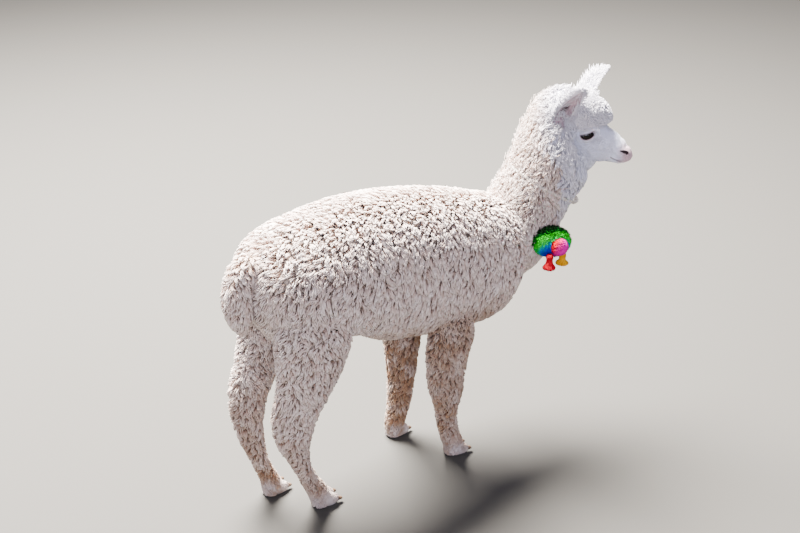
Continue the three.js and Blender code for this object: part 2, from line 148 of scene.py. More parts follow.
@dataclass
class Ripple:
    """Smooth noise in space: the mean of sines of one wavelength that run in random directions."""

    wavelength: float
    seed: int
    waves: int = 7

    def __call__(self, points: Array) -> Array:
        """Noise of about -1..1 at each point: sum of sin(k.p + phase) over the root of the number of waves."""
        rng = np.random.default_rng(self.seed)
        k = unit(rng.normal(size=(self.waves, 3))) * rng.uniform(0.7, 1.5, (self.waves, 1))
        phase = rng.uniform(0, math.tau, self.waves)
        return np.sin(points @ (k.T * math.tau / self.wavelength) + phase).sum(-1) / math.sqrt(self.waves)


HEAD_FRAME = shift(*((HEAD_AT - MIDDLE) * MM)) @ rotation("Z", HEAD_TURN) @ rotation("Y", HEAD_NOD)
HEAD_INVERSE = np.linalg.inv(HEAD_FRAME)
HEAD_MM = HEAD_FRAME @ np.diag([MM, MM, MM, 1])


def head_mm(points: Array) -> Array:
    """Points of the model in the head's own frame, in millimetres."""
    return carried(HEAD_INVERSE, points) / MM


# ---- forms


class Rings(NamedTuple):
    """A loft's rings: centres, side, ahead and spine directions, and each ring's numbers.

    The numbers are the reaches to the sides, the front and the back in metres, the closing-up k, and the signed
    share by which an inset moves the ring inwards along the spine.
    """

    centre: Array
    side: Array
    ahead: Array
    tangent: Array
    reach: Array


@dataclass
class Loft:
    """A closed surface of rings carried along a spine, as the solids are made.

    Each station is a spine point and how far the ring reaches to the sides, the front and the back, in mm. With
    C the spine, a the angle round the ring, q the squareness, k the closing-up of a rounded end and d the inset:
    S(v, a) = C + side * sgn(cos a)|cos a|^(2/q) (R_side - d) k + ahead * sgn(sin a)|sin a|^(2/q) (R_front/back - d) k.
    """

    stations: Sequence[Row]
    round_start: float
    round_end: float
    front: tuple[Array, Array]
    square: float = 2.0
    place: Array = field(default_factory=lambda: shift(*(-MIDDLE * MM)))

    def __post_init__(self) -> None:
        """Keeps the stations as metres."""
        self.table = np.array(self.stations, float) * MM

    def crossways(self, tangent: Array, t: Array) -> tuple[Array, Array]:
        """The rings' side, aim x T, and ahead, T x side, where the aim goes from the first front to the second."""
        aim = self.front[0] + (self.front[1] - self.front[0]) * t[..., None]
        side = unit(np.cross(aim, tangent))
        return side, np.cross(tangent, side)

    def rings(self, v: Array) -> Rings:
        """The rings at v in the loft's own frame; inside a rounded end v is spread like the rings of a dome."""
        from_start = np.minimum(v / self.round_start, 1) if self.round_start else np.ones_like(v)
        from_end = np.minimum((1 - v) / self.round_end, 1) if self.round_end else np.ones_like(v)
        t = np.where(from_start < 1, self.round_start * (1 - np.cos(from_start * math.pi / 2)), v)
        t = np.where(from_end < 1, 1 - self.round_end * (1 - np.cos(from_end * math.pi / 2)), t)
        scale = np.sin(np.minimum(from_start, from_end) * math.pi / 2)
        inward = np.where(from_start < 1, np.cos(from_start * math.pi / 2), 0.0)
        inward = np.where(from_end < 1, -np.cos(from_end * math.pi / 2), inward)
        spine = self.table[:, :3]
        centre = through(spine, t)
        after, before = np.minimum(t + SLOPE_STEP, 1), np.maximum(t - SLOPE_STEP, 0)
        tangent = unit(through(spine, after) - through(spine, before))
        reach = np.concatenate([through(self.table[:, 3:], t), scale[..., None], inward[..., None]], -1)
        return Rings(centre, *self.crossways(tangent, t), tangent, reach)

    def at(self, v: Array, angle: Array, inset: Array | float = 0.0) -> Array:
        """Points of the surface, in the model's frame.

        Args:
            v: shares of the spine.
            angle: angles round the ring, from the side and on to the front.
            inset: how far inside the outline the surface lies, in metres.

        Returns:
            One point for each v and angle.
        """
        centre, side, ahead, tangent, reach = self.rings(v)
        inset = np.broadcast_to(np.asarray(inset, float), np.broadcast(v, angle).shape)
        cos, sin = np.cos(angle), np.sin(angle)
        across = np.sign(cos) * np.abs(cos) ** (2 / self.square)
        along = np.sign(sin) * np.abs(sin) ** (2 / self.square)
        forward = np.where(sin > 0, reach[..., 1], reach[..., 2])
        across = across * np.maximum(reach[..., 0] - inset, LEAST_REACH) * reach[..., 3]
        along = along * np.maximum(forward - inset, LEAST_REACH) * reach[..., 3]
        point = centre + side * across[..., None] + ahead * along[..., None]
        point = point + tangent * (inset * reach[..., 4])[..., None]
        return carried(self.place, point)

    def normal(self, v: Array, angle: Array, inset: Array | float = 0.0) -> Array:
        """Outward unit normals: the cross product of the surface's two slopes, turned away from the spine."""
        step = 2e-3
        low, high = np.maximum(v - step, 1e-4), np.minimum(v + step, 1 - 1e-4)
        along = self.at(high, angle, inset) - self.at(low, angle, inset)
        around = self.at(v, angle + step, inset) - self.at(v, angle - step, inset)
        outward = unit(np.cross(around, along))
        rings = self.rings(v)
        away = self.at(v, angle, inset) - carried(self.place, rings.centre)
        away = away + self.along(v) * -rings.reach[..., 4:5] * 0.05
        return outward * np.sign(np.sum(outward * away, -1, keepdims=True))

    def along(self, v: Array) -> Array:
        """The spine's direction at v, in the model's frame."""
        return unit(self.rings(v).tangent @ self.place[:3, :3].T)

    def mesh(self, rings: int, around: int, inset: Callable[[Array, Array], Array] | float) -> "Surface":
        """The closed surface as a grid of quads with a fan at each pole.

        Args:
            rings: steps along the spine.
            around: steps round the ring.
            inset: the inset, or a function that gives it at (v, angle).

        Returns:
            The surface, its faces pointing out.
        """
        v = np.linspace(0, 1, rings + 1)
        v = v[1 if self.round_start else 0 : -1 if self.round_end else None]
        angle = np.arange(around) * math.tau / around
        v, angle = np.meshgrid(v, angle, indexing="ij")
        depth = inset(v, angle) if callable(inset) else np.full(v.shape, inset)
        ends = np.array([[0.0], [1.0]])
        end_depth = inset(ends, ends * 0) if callable(inset) else inset
        body = self.at(v, angle, depth).reshape(-1, 3)
        tips = self.at(ends, ends * 0, end_depth).reshape(-1, 3)
        return Surface(np.vstack([body, tips]), grid_faces(len(v), around))

    def covers(self, points: Array, inset: Array | float = 0.0) -> Array:
        """How far inside the loft each point is, as a share of the reach there: under 1 is inside.

        The nearest of many rings is found for each point, and the point's place in that ring's plane is put into
        the ring's own formula, (|x|/R)^q + (|y|/R)^q.
        """
        local = carried(np.linalg.inv(self.place), points)
        t = np.linspace(0, 1, 90)
        table = through(self.table, t)
        closing = np.ones_like(t)
        if self.round_start:
            closing = np.minimum(closing, np.sqrt(1 - np.maximum(1 - t / self.round_start, 0) ** 2))
        if self.round_end:
            closing = np.minimum(closing, np.sqrt(1 - np.maximum(1 - (1 - t) / self.round_end, 0) ** 2))
        closing = np.maximum(closing, 0.02)
        tangent = unit(np.gradient(table[:, :3], axis=0))
        side, ahead = self.crossways(tangent, t)
        square = (local**2).sum(1)[:, None] - 2 * local @ table[:, :3].T + (table[:, :3] ** 2).sum(1)[None]
        near = square.argmin(1)
        offset = local - table[near, :3]
        x = np.sum(offset * side[near], 1)
        y = np.sum(offset * ahead[near], 1)
        z = np.sum(offset * tangent[near], 1)
        reach = np.maximum(table[near, 3:] - np.asarray(inset)[..., None], 0.002) * closing[near, None]
        forward = np.where(y > 0, reach[:, 1], reach[:, 2])
        share = (np.abs(x / reach[:, 0]) ** self.square + np.abs(y / forward) ** self.square) ** (1 / self.square)
        beyond = np.maximum(np.abs(z) - 0.012, 0) / 0.01
        return share + beyond


def grid_faces(rows: int, around: int) -> Array:
    """Triangles of rings joined in order, with a fan at each end.

    Args:
        rows: rings.
        around: points in each ring; the start's tip and the end's follow them.

    Returns:
        An array of triangles of point numbers.
    """
    row, col = np.meshgrid(np.arange(rows - 1), np.arange(around), indexing="ij")
    a = row * around + col
    b = row * around + (col + 1) % around
    quads = np.stack([a, b, b + around, a, b + around, a + around], -1).reshape(-1, 3)
    first = rows * around
    col = np.arange(around)
    after = (col + 1) % around
    start = np.stack([np.full(around, first), after, col], -1)
    last = (rows - 1) * around
    end = np.stack([np.full(around, first + 1), last + col, last + after], -1)
    return np.vstack([quads, start, end])


@dataclass
class Surface:
    """Points and triangles, with the numbers that each point carries and, for a coat, its place on the bake map."""

    points: Array
    faces: Array
    values: dict[str, Array] = field(default_factory=dict)
    bake: Array | None = None

    def moved(self, matrix: Array) -> "Surface":
        """The same surface through a 4x4 matrix."""
        return Surface(carried(matrix, self.points), self.faces, self.values, self.bake)

    def facing_out(self) -> "Surface":
        """The closed surface with its faces turned, if need be, so that its volume is positive."""
        a, b, c = (self.points[self.faces[:, k]] - self.points.mean(0) for k in range(3))
        volume = np.einsum("ij,ij->i", a, np.cross(b, c)).sum() / 6
        return self if volume > 0 else Surface(self.points, self.faces[:, ::-1], self.values, self.bake)

    def filled(self, **values: float) -> "Surface":
        """The same surface, each of its points carrying these numbers."""
        full = {name: np.full(len(self.points), value) for name, value in values.items()}
        return Surface(self.points, self.faces, full, self.bake)

    def piece(self, name: str, smooth: bool = True) -> Piece:
        """Puts the surface into a new object at the origin.

        Args:
            name: the piece's name.
            smooth: whether its faces are shaded smooth.

        Returns:
            The object.
        """
        mesh = bpy.data.meshes.new(name)
        faces = np.ascontiguousarray(self.faces, np.int32)
        mesh.vertices.add(len(self.points))
        mesh.vertices.foreach_set("co", np.ascontiguousarray(self.points, np.float32).ravel())
        mesh.loops.add(faces.size)
        mesh.loops.foreach_set("vertex_index", faces.ravel())
        mesh.polygons.add(len(faces))
        mesh.polygons.foreach_set("loop_start", np.arange(0, faces.size, 3, dtype=np.int32))
        mesh.polygons.foreach_set("loop_total", np.full(len(faces), 3, np.int32))
        mesh.polygons.foreach_set("use_smooth", np.full(len(faces), smooth))
        for label, value in self.values.items():
            mesh.attributes.new(label, "FLOAT", "POINT").data.foreach_set("value", value.astype(np.float32).ravel())
        if self.bake is not None:
            layer = mesh.uv_layers.new(name="OFBake")
            layer.uv.foreach_set("vector", self.bake[faces.ravel()].astype(np.float32).ravel())
        mesh.update(calc_edges=True)
        piece = bpy.data.objects.new(name, mesh)
        bpy.context.scene.collection.objects.link(piece)
        return piece


def joined(surfaces: Sequence[Surface]) -> Surface:
    """Several surfaces as one, with the values that all of them carry."""
    offsets = np.cumsum([0] + [len(s.points) for s in surfaces[:-1]])
    faces = np.vstack([s.faces + o for s, o in zip(surfaces, offsets)])
    shared = set.intersection(*[set(s.values) for s in surfaces])
    values = {k: np.concatenate([s.values[k] for s in surfaces]) for k in sorted(shared)}
    bake = np.vstack([s.bake for s in surfaces]) if all(s.bake is not None for s in surfaces) else None
    return Surface(np.vstack([s.points for s in surfaces]), faces, values, bake)


def ellipsoid(centre: Row, size: Row, steps: int = 24) -> Surface:
    """An ellipsoid: centre + size * (cos b cos a, cos b sin a, sin b)."""
    b, a = np.meshgrid(np.linspace(-math.pi / 2, math.pi / 2, steps // 2 + 1)[1:-1],
                       np.arange(steps) * math.tau / steps, indexing="ij")
    ball = np.stack([np.cos(b) * np.cos(a), np.cos(b) * np.sin(a), np.sin(b)], -1).reshape(-1, 3)
    ball = np.vstack([ball, [[0, 0, -1], [0, 0, 1]]])
    return Surface(np.array(centre) + ball * np.array(size), grid_faces(steps // 2 - 1, steps))


def tube(path: Array, radius: Array | float, sides: int = 8) -> Surface:
    """A round tube along a path: P(s) + r(s) (B cos a + N sin a), closed by a fan at each end.

    Args:
        path: points of the centre line.
        radius: its radius, one for all or one for each point.
        sides: steps round it.

    Returns:
        The closed tube.
    """
    tangent = unit(np.gradient(path, axis=0))
    helper = np.where(np.abs(tangent[:, 2:3]) > 0.9, AHEAD, UP)
    across = unit(np.cross(tangent, helper))
    over = np.cross(across, tangent)
    angle = np.arange(sides) * math.tau / sides
    radius = np.broadcast_to(radius, len(path))[:, None, None]
    ring = across[:, None] * np.cos(angle)[None, :, None] - over[:, None] * np.sin(angle)[None, :, None]
    points = (path[:, None] + ring * radius).reshape(-1, 3)
    return Surface(np.vstack([points, path[:1], path[-1:]]), grid_faces(len(path), sides))


# ---- the animal's forms


def body_lofts() -> dict[str, Loft]:
    """The forms of trunk, neck, tail and legs, with the solids' own stations."""
    trunk = [
        [-110, 0, 572, 126, 94, 116], [-50, 0, 576, 140, 124, 136], [40, 0, 571, 148, 152, 157],
        [130, 0, 562, 154, 172, 140], [230, 0, 550, 156, 179, 173], [320, 0, 535, 150, 181, 180],
        [410, 0, 517, 140, 177, 181], [500, 0, 496, 130, 169, 172], [575, 0, 480, 122, 157, 152],
        [648, 0, 462, 98, 124, 102],
    ]
    neck = [
        [540, 0, 425, 112, 118, 116], [612, -4, 500, 106, 112, 116], [660, -10, 570, 97, 106, 104],
        [692, -18, 640, 87, 109, 90], [718, -26, 705, 78, 117, 85], [742, -25, 770, 66, 62, 80],
        [764, -16, 838, 55, 42, 60], [795, -22, 893, 36, 30, 38],
    ]
    tail = [
        [-66, 0, 664, 34, 26, 26], [-105, 0, 636, 40, 34, 30], [-121, 0, 583, 42, 34, 36],
        [-120, 0, 530, 36, 28, 32], [-114, 0, 480, 22, 16, 20],
    ]
    legs = {
        "hind_right": [
            [20, -78, 590, 58, 96, 100], [12, -88, 500, 62, 98, 104], [0, -88, 420, 56, 82, 90],
            [-16, -82, 350, 48, 62, 76], [-36, -76, 292, 42, 52, 66], [-42, -70, 232, 36, 42, 50],
            [-34, -62, 180, 30, 31, 30], [-17, -56, 125, 26, 23, 22], [6, -52, 75, 25, 23, 24],
            [24, -50, 38, 25, 26, 25], [32, -50, 6, 24, 27, 25],
        ],
        "hind_left": [
            [6, 78, 590, 58, 96, 84], [-6, 86, 500, 60, 98, 78], [-26, 86, 420, 54, 84, 58],
            [-48, 82, 350, 47, 62, 54], [-72, 76, 288, 42, 48, 54], [-81, 72, 226, 37, 38, 44],
            [-76, 66, 172, 31, 27, 36], [-67, 61, 120, 27, 20, 27], [-54, 58, 75, 25, 19, 25],
            [-44, 57, 38, 25, 24, 25], [-40, 57, 6, 24, 26, 25],
        ],
        "front_right": [
            [408, -82, 450, 44, 66, 70], [392, -88, 375, 44, 66, 70], [382, -86, 300, 40, 60, 66],
            [381, -84, 240, 36, 50, 58], [385, -82, 195, 34, 43, 50], [384, -80, 150, 29, 32, 34],
            [390, -78, 105, 27, 28, 30], [400, -76, 65, 26, 26, 28], [410, -76, 34, 25, 27, 27],
            [412, -76, 6, 24, 27, 25],
        ],
        "front_left": [
            [396, 82, 450, 44, 66, 70], [382, 88, 375, 44, 66, 70], [370, 84, 300, 41, 60, 60],
            [364, 80, 240, 38, 50, 48], [362, 78, 190, 36, 43, 42], [358, 77, 140, 33, 38, 38],
            [352, 76, 95, 31, 35, 34], [344, 76, 58, 28, 30, 30], [338, 76, 34, 26, 28, 27],
            [338, 76, 6, 24, 27, 25],
        ],
    }
    lofts = {
        "trunk": Loft(trunk, 0.17, 0.12, (UP, UP), 2.15),
        "neck": Loft(neck, 0.2, 0.2, (AHEAD, FACING)),
        "tail": Loft(tail, 0.2, 0.3, (AHEAD, AHEAD)),
    }
    for name, stations in legs.items():
        lofts[name] = Loft(stations, 0.16, 0.0, (AHEAD, AHEAD))
    return lofts


def head_lofts() -> dict[str, Loft]:
    """The forms of the face, the topknot's mound and the woolly cheeks, in the head's frame."""
    face = [
        [-84, 0, -8, 40, 44, 48], [-55, 0, -12, 43, 56, 56], [-25, 0, -18, 42, 58, 58], [0, 0, -22, 39.5, 58, 54],
        [25, 0, -28, 35, 45, 49], [45, 0, -33, 28, 37.5, 44], [62, 0, -40, 24, 30.5, 37], [78, 0, -46, 20.5, 25, 31],
        [90, 0, -46, 17.5, 22, 23], [100, 0, -40, 14, 15.5, 16],
    ]
    topknot = [
        [-86, 0, 34, 36, 44, 40], [-52, 0, 42, 44, 48, 50], [-15, 0, 42, 49, 48, 44], [20, 0, 38, 42, 42, 34],
        [52, 0, 32, 30, 28, 22],
    ]
    cheeks = [
        [-78, 0, -46, 42, 34, 44], [-45, 0, -55, 52, 40, 54], [-10, 0, -60, 46, 30, 46], [18, 0, -55, 34, 22, 30],
    ]
    return {
        "face": Loft(face, 0.16, 0.1, (UP, UP), 2.2, HEAD_FRAME),
        "topknot": Loft(topknot, 0.35, 0.35, (UP, UP), 2.2, HEAD_FRAME),
        "cheeks": Loft(cheeks, 0.4, 0.4, (UP, UP), 2.2, HEAD_FRAME),
    }


BODY = body_lofts()
HEAD = head_lofts()
FORMS = BODY | HEAD
FLEECE_MM = {"trunk": 20.0, "tail": 13.0, "topknot": 10.0}  # where the coat is of one depth


# ---- coat depth and markings


def fleece_depth(name: str, v: Array, angle: Array) -> Array:
    """How deep the coat stands over the skin, in metres, on each of the body's forms.

    Deepest on the trunk, thinner up the neck, and on a leg it falls with height down to the pastern, where the
    hair turns short.

    Args:
        name: the loft's name.
        v: shares of its spine.
        angle: angles round it.

    Returns:
        The depth at each place.
    """
    if name in FLEECE_MM:
        return np.full(np.broadcast(v, angle).shape, FLEECE_MM[name] * MM)
    if name == "neck":
        return (20 - 8 * smoothstep(0.3, 0.95, v)) * MM + tucked(name, v, angle)
    if name == "cheeks":
        return (5 + 8 * smoothstep(1.0, 0.2, v)) * MM + 0 * angle
    if name == "face":
        return (1.5 + 2.5 * smoothstep(0.5, 0.1, v)) * MM + 0 * angle
    height = carried(FORMS[name].place, FORMS[name].rings(v).centre)[..., 2]
    return (2.5 + 6.5 * smoothstep(0.045, 0.085, height) + 6 * smoothstep(0.09, 0.42, height)) * MM + 0 * angle


def under_coat(forms: dict[str, Loft], rings: int, around: int) -> list[Surface]:
    """The forms' surfaces, each inside its outline by the coat's depth."""
    return [loft.mesh(rings, around, partial(fleece_depth, name)) for name, loft in forms.items()]


def tucked(name: str, v: Array, angle: Array) -> Array:
    """How far the coat stays inside the outline, in metres: at the nape's top, and where the neck meets the chest."""
    nape = smoothstep(0.8, 0.92, v) * smoothstep(-0.3, 0.5, -np.sin(angle))
    brisket = smoothstep(0.26, 0.04, v) * smoothstep(-0.3, 0.5, np.sin(angle))
    return ((8 * nape + 15 * brisket) * MM if name == "neck" else 0 * nape) + 0 * angle


class Side(Enum):
    """A side of the animal; the value is the sign of Y there."""

    RIGHT = -1
    LEFT = 1

    @property
    def label(self) -> str:
        """The side's word in the names of nodes and pieces."""
        return self.name.lower()


class Markings:
    """Where the coat and the skin under it are stained brown, painted darker for shade, and bare, as shares that both
    of them carry.
    """

    soil_noise = Ripple(0.055, 11)
    fine_noise = Ripple(0.021, 12)

    def soil(self, p: Array) -> Array:
        """Brown soiling down the legs and along the belly's edge, where painted shade under the belly deepens it;
        darker too on the legs' inner sides and low on the far side.
        """
        mottle = 0.5 + 0.3 * self.soil_noise(p) + 0.2 * self.fine_noise(p)
        low = smoothstep(0.36, 0.05, p[:, 2]) * (0.35 + 0.65 * mottle)
        feet = smoothstep(0.07, 0.02, p[:, 2])
        inner = smoothstep(0.075, 0.02, np.abs(p[:, 1])) * smoothstep(0.46, 0.36, p[:, 2])
        # The belly's darkening is soiling together with painted shade under the belly.
        belly = smoothstep(0.49, 0.38, p[:, 2]) * smoothstep(0.38, 0.14, np.abs(p[:, 0] + 0.05))
        belly = belly * (0.35 + 0.65 * mottle)
        far = smoothstep(0.0, 0.05, p[:, 1]) * smoothstep(0.36, 0.28, p[:, 2]) * 0.35
        return np.clip(np.maximum.reduce([0.78 * low, inner * 0.85, belly * 0.95]) + far * mottle - 0.15 * feet, 0, 1)

    def bare(self, p: Array) -> Array:
        """Pink bare skin: the nose pad and the lips."""
        h = head_mm(p)
        lips = smoothstep(62, 76, h[:, 0]) * smoothstep(-54, -62, h[:, 2]) * 0.6
        nose = smoothstep(62, 92, h[:, 0]) * smoothstep(-8, -31, h[:, 2]) * 0.95
        return np.clip(np.maximum(nose, lips), 0, 1)

    def short(self, p: Array) -> Array:
        """The short hair over the face and the feet, cool blue-white as painted shade, and painted light over the head.
        """
        h = head_mm(p)
        ahead = h[:, 0] + 0.2 * (h[:, 2] + 20)
        face = smoothstep(-48.0, -30.0, ahead) * (h[:, 2] < 12) * (np.abs(h[:, 1]) < 60)
        # Over the whole head it whitens the curls and drops their darker roots: painted light on the crown.
        head = 0.8 * smoothstep(-120.0, -60.0, ahead) * (np.abs(h[:, 1]) < 90)
        return np.clip(np.maximum(face, head) + 0.45 * smoothstep(0.06, 0.03, p[:, 2]), 0, 1)

    def values(self, p: Array) -> dict[str, Array]:
        """All of the markings at each point."""
        return {"soil": self.soil(p), "bare": self.bare(p), "short": self.short(p)}


EYE_AT = np.array([-2.0, 29.5, -3.0])  # mm, in the head's frame
EYE_RADIUS = 17.0
MARKINGS = Markings()


# ---- materials


def linear(code: str) -> tuple[float, float, float, float]:
    """An sRGB hex colour as Blender's linear one: c/12.92 below 0.04045, else ((c + 0.055) / 1.055)^2.4."""
    parts = [int(code[i : i + 2], 16) / 255 for i in (0, 2, 4)]
    red, green, blue = (c / 12.92 if c <= 0.04045 else ((c + 0.055) / 1.055) ** 2.4 for c in parts)
    return red, green, blue, 1.0


def add_node(tree: Tree, kind: str, settings: dict | None = None, links: dict | None = None) -> Node:
    """Adds a node to a material.

    Args:
        tree: the material's node tree.
        kind: the node's type.
        settings: its properties by name, and its sockets' values by name or number.
        links: for each input's name or number, the output that feeds it.

    Returns:
        The node.
    """
    node = tree.nodes.new(kind)
    for name, value in (settings or {}).items():
        if isinstance(name, str) and hasattr(node, name):
            setattr(node, name, value)
        else:
            node.inputs[name].default_value = value
    for name, output in (links or {}).items():
        tree.links.new(output, node.inputs[name])
    return node


class Blend(Enum):
    """How one colour is laid on another."""

    MIX = "MIX"
    MULTIPLY = "MULTIPLY"


@dataclass
class Paint:
    """A material being made, with the few kinds of node that the finishes are built from."""

    material: Material
    tree: Tree
    shader: Node

    def attribute(self, name: str) -> Socket:
        """The output of a number carried by the mesh."""
        return add_node(self.tree, "ShaderNodeAttribute", {"attribute_name": name}).outputs["Fac"]

    def mixed(self, share: object, low: object, high: object, blend: Blend = Blend.MIX) -> Socket:
        """A colour mixed from low to high by a share.

        Args:
            share: the share, or the output that gives it.
            low: the colour, or the output, at share 0.
            high: the colour, or the output, at share 1.
            blend: how the second is laid on the first.

        Returns:
            The mixed colour's output.
        """
        settings = {"data_type": "RGBA", "blend_type": blend.value}
        links = {}
        for socket, value in ((0, share), (6, low), (7, high)):  # 6 and 7 are the node's colours A and B
            (links if isinstance(value, Socket) else settings)[socket] = value
        return add_node(self.tree, "ShaderNodeMix", settings, links).outputs[2]

    def times(self, colour: Socket, other: object) -> Socket:
        """The product of two colours."""
        return self.mixed(1.0, colour, other, Blend.MULTIPLY)

    def ramp(self, value: Socket, *stops: tuple[float, str]) -> Socket:
        """A colour that follows a number through stops.

        Args:
            value: the number's output.
            stops: places in 0..1 with sRGB hex colours.

        Returns:
            The colour's output.
        """
        node = add_node(self.tree, "ShaderNodeValToRGB", {}, {0: value})
        while len(node.color_ramp.elements) < len(stops):
            node.color_ramp.elements.new(0.5)
        for element, (place, code) in zip(node.color_ramp.elements, stops):
            element.position = place
            element.color = linear(code)
        return node.outputs[0]

    def speckle(self, wavelength_mm: float, detail: float = 2.0) -> Socket:
        """Noise over Object coordinates whose features are about wavelength_mm across."""
        place = add_node(self.tree, "ShaderNodeTexCoord").outputs["Object"]
        settings = {"Scale": 1 / (wavelength_mm * MM), "Detail": detail}
        return add_node(self.tree, "ShaderNodeTexNoise", settings, {"Vector": place}).outputs["Fac"]

    def soiled(self, colour: Socket) -> Socket:
        """The brown soiling and painted shade laid over a colour, the same on the skin and on the coat: it multiplies
        the clean hair.
        """
        return self.mixed(self.attribute("soil"), colour, linear("b79c7e"), Blend.MULTIPLY)

    def done(self, colour: Socket, height: Socket | None = None, depth_mm: float = 0.0) -> Material:
        """Gives the shader its colour and, where there is a height, a bump of depth_mm at most.

        Args:
            colour: the base colour's output.
            height: the bump's output.
            depth_mm: how high 1 stands.

        Returns:
            The finished material.
        """
        self.tree.links.new(colour, self.shader.inputs["Base Color"])
        if height is not None:
            settings = {"Strength": 0.7, "Distance": depth_mm * MM}
            node = add_node(self.tree, "ShaderNodeBump", settings, {"Height": height})
            self.tree.links.new(node.outputs[0], self.shader.inputs["Normal"])
        return self.material


@dataclass(frozen=True)
class Finish:
    """What a surface's shader starts from: its roughness, sheen and gloss, set on the shader's own sockets."""

    name: str
    roughness: float
    sheen: float = 0.0
    specular: float = 0.5

    def start(self) -> Paint:
        """A new material with its shader."""
        material = bpy.data.materials.new(self.name)
        material.use_nodes = True
        shader = material.node_tree.nodes["Principled BSDF"]
        shader.inputs["Roughness"].default_value = self.roughness
        shader.inputs["Specular IOR Level"].default_value = self.specular
        shader.inputs["Sheen Weight"].default_value = self.sheen
        shader.inputs["Sheen Roughness"].default_value = 0.45
        return Paint(material, material.node_tree, shader)


@dataclass(frozen=True)
class Fleece:
    """Huacaya wool: fine crimped fibre in staples, bright at the tips, grey-brown where they part, from dust and
    painted shade between the locks.
    """

    finish: Finish = Finish("wool_fibre", 0.92, sheen=0.25, specular=0.2)

    def material(self) -> Material:
        """Colour by the place along each strand, with a tone for each lock and fibres across it.

        The fibres are real ones of 0.03 mm bunched into bundles of about 0.7 mm, which is as fine as shows.
        """
        paint = self.finish.start()
        # The ramp's darker roots are painted shade between the locks, with some dust.
        wool = paint.ramp(paint.attribute("along"), (0.0, "a58a70"), (0.25, "cfbbae"), (0.5, "efe4df"),
                          (0.8, "faf4f1"), (1.0, "ffffff"))
        wool = paint.times(wool, paint.mixed(paint.attribute("tone"), linear("dccbc3"), linear("fffdfc")))
        # short makes the hair blue-white, a painted cool shade; on the head it is painted light without darker roots.
        cool = paint.mixed(paint.attribute("short"), wool, linear("ebefff"))
        bundles = paint.speckle(0.7, 1.0)
        final = paint.times(paint.soiled(cool), paint.ramp(bundles, (0.3, "d9d4cd"), (0.65, "ffffff")))
        return paint.done(final, bundles, 0.4)


@dataclass(frozen=True)
class Hide:
    """The skin: pinkish-grey under the fleece, covered with short white hair on the face, bare on nose and lids."""

    finish: Finish = Finish("skin_with_short_hair", 0.75, sheen=0.2, specular=0.3)

    def material(self) -> Material:
        """White hair over pink, with bare places and dark ones, mostly painted shade in folds and openings, mixed in by
        the skin's numbers.

        The hair's nap is drawn as streaks of 1.2 mm, and its bump as 0.35 mm.
        """
        paint = self.finish.start()
        nap = paint.speckle(1.2, 3.0)
        # The short hair's blue-white is white with a painted blue cast of cool shade.
        hair = paint.ramp(nap, (0.3, "ccd2ea"), (0.6, "e8edff"))
        under = paint.ramp(nap, (0.3, "bfae9c"), (0.7, "dacdc0"))
        soiled = paint.soiled(paint.mixed(paint.attribute("short"), under, hair))
        pink = paint.ramp(paint.speckle(3.5), (0.3, "9c7c85"), (0.7, "c9adb6"))
        skinned = paint.mixed(paint.attribute("bare"), soiled, pink)
        # dark: mostly painted shade in folds, openings and the ears' hollows, with the ears' brown blotches.
        return paint.done(paint.mixed(paint.attribute("dark"), skinned, linear("2a1c20")), nap, 0.35)


@dataclass(frozen=True)
class Cornea:
    """The eye's wet surface: near-black brown with a sharp gloss."""

    finish: Finish = Finish("eye_wet_cornea", 0.12, specular=0.2)

    def material(self) -> Material:
        """A dark brown iris that darkens into the pupil by a number the eye carries, 0 at the pupil."""
        paint = self.finish.start()
        iris = paint.ramp(paint.speckle(1.4, 3.0), (0.35, "090606"), (0.7, "1c110d"))
        return paint.done(paint.mixed(paint.attribute("iris"), linear("040303"), iris))


@dataclass(frozen=True)
class Keratin:
    """A toe's nail: brown horn, worn matt."""

    finish: Finish = Finish("nail_keratin", 0.45, specular=0.45)

    def material(self) -> Material:
        """Brown horn mottled in patches of 2 mm, which are also its bump."""
        paint = self.finish.start()
        patches = paint.speckle(2.0, 3.0)
        return paint.done(paint.ramp(patches, (0.3, "3f3128"), (0.55, "66503f"), (0.8, "8a715c")), patches, 0.25)


@dataclass(frozen=True)
class Yarn:
    """Acrylic yarn, dyed: its colour follows the band of the ornament that each strand grows in."""

    name: str
    stops: tuple[tuple[float, str], ...]

    def material(self) -> Material:
        """Colour by the number band, a little darker from strand to strand, with plies of 0.8 mm as bump."""
        paint = Finish(self.name, 0.95, specular=0.08).start()
        dye = paint.ramp(paint.attribute("band"), *self.stops)
        tone = paint.mixed(paint.attribute("tone"), linear("b4b4b4"), linear("ffffff"))
        return paint.done(paint.times(dye, tone), paint.speckle(0.8, 1.0), 0.3)


@dataclass(frozen=True)
class Cord:
    """Cotton rope: three plies of off-white yarn, greyed by handling."""

    finish: Finish = Finish("cotton_rope", 0.9, sheen=0.2, specular=0.2)

    def material(self) -> Material:
        """Off-white with grime of 6 mm patches, and yarns of 0.6 mm as bump."""
        paint = self.finish.start()
        grime = paint.ramp(paint.speckle(6.0, 3.0), (0.3, "a59c90"), (0.6, "ddd8d0"))
        return paint.done(grime, paint.speckle(0.6, 1.0), 0.25)


@dataclass(frozen=True)
class Litter:
    """Dry bits of plant and dung caught in the fleece."""

    finish: Finish = Finish("dry_plant_bits", 0.9, specular=0.2)

    def material(self) -> Material:
        """Near-black brown, some bits paler."""
        paint = self.finish.start()
        tone = paint.ramp(paint.attribute("tone"), (0.0, "17110e"), (0.75, "3a2c22"), (1.0, "7a6248"))
        return paint.done(tone, paint.speckle(1.0), 0.2)


# ---- mesh tools


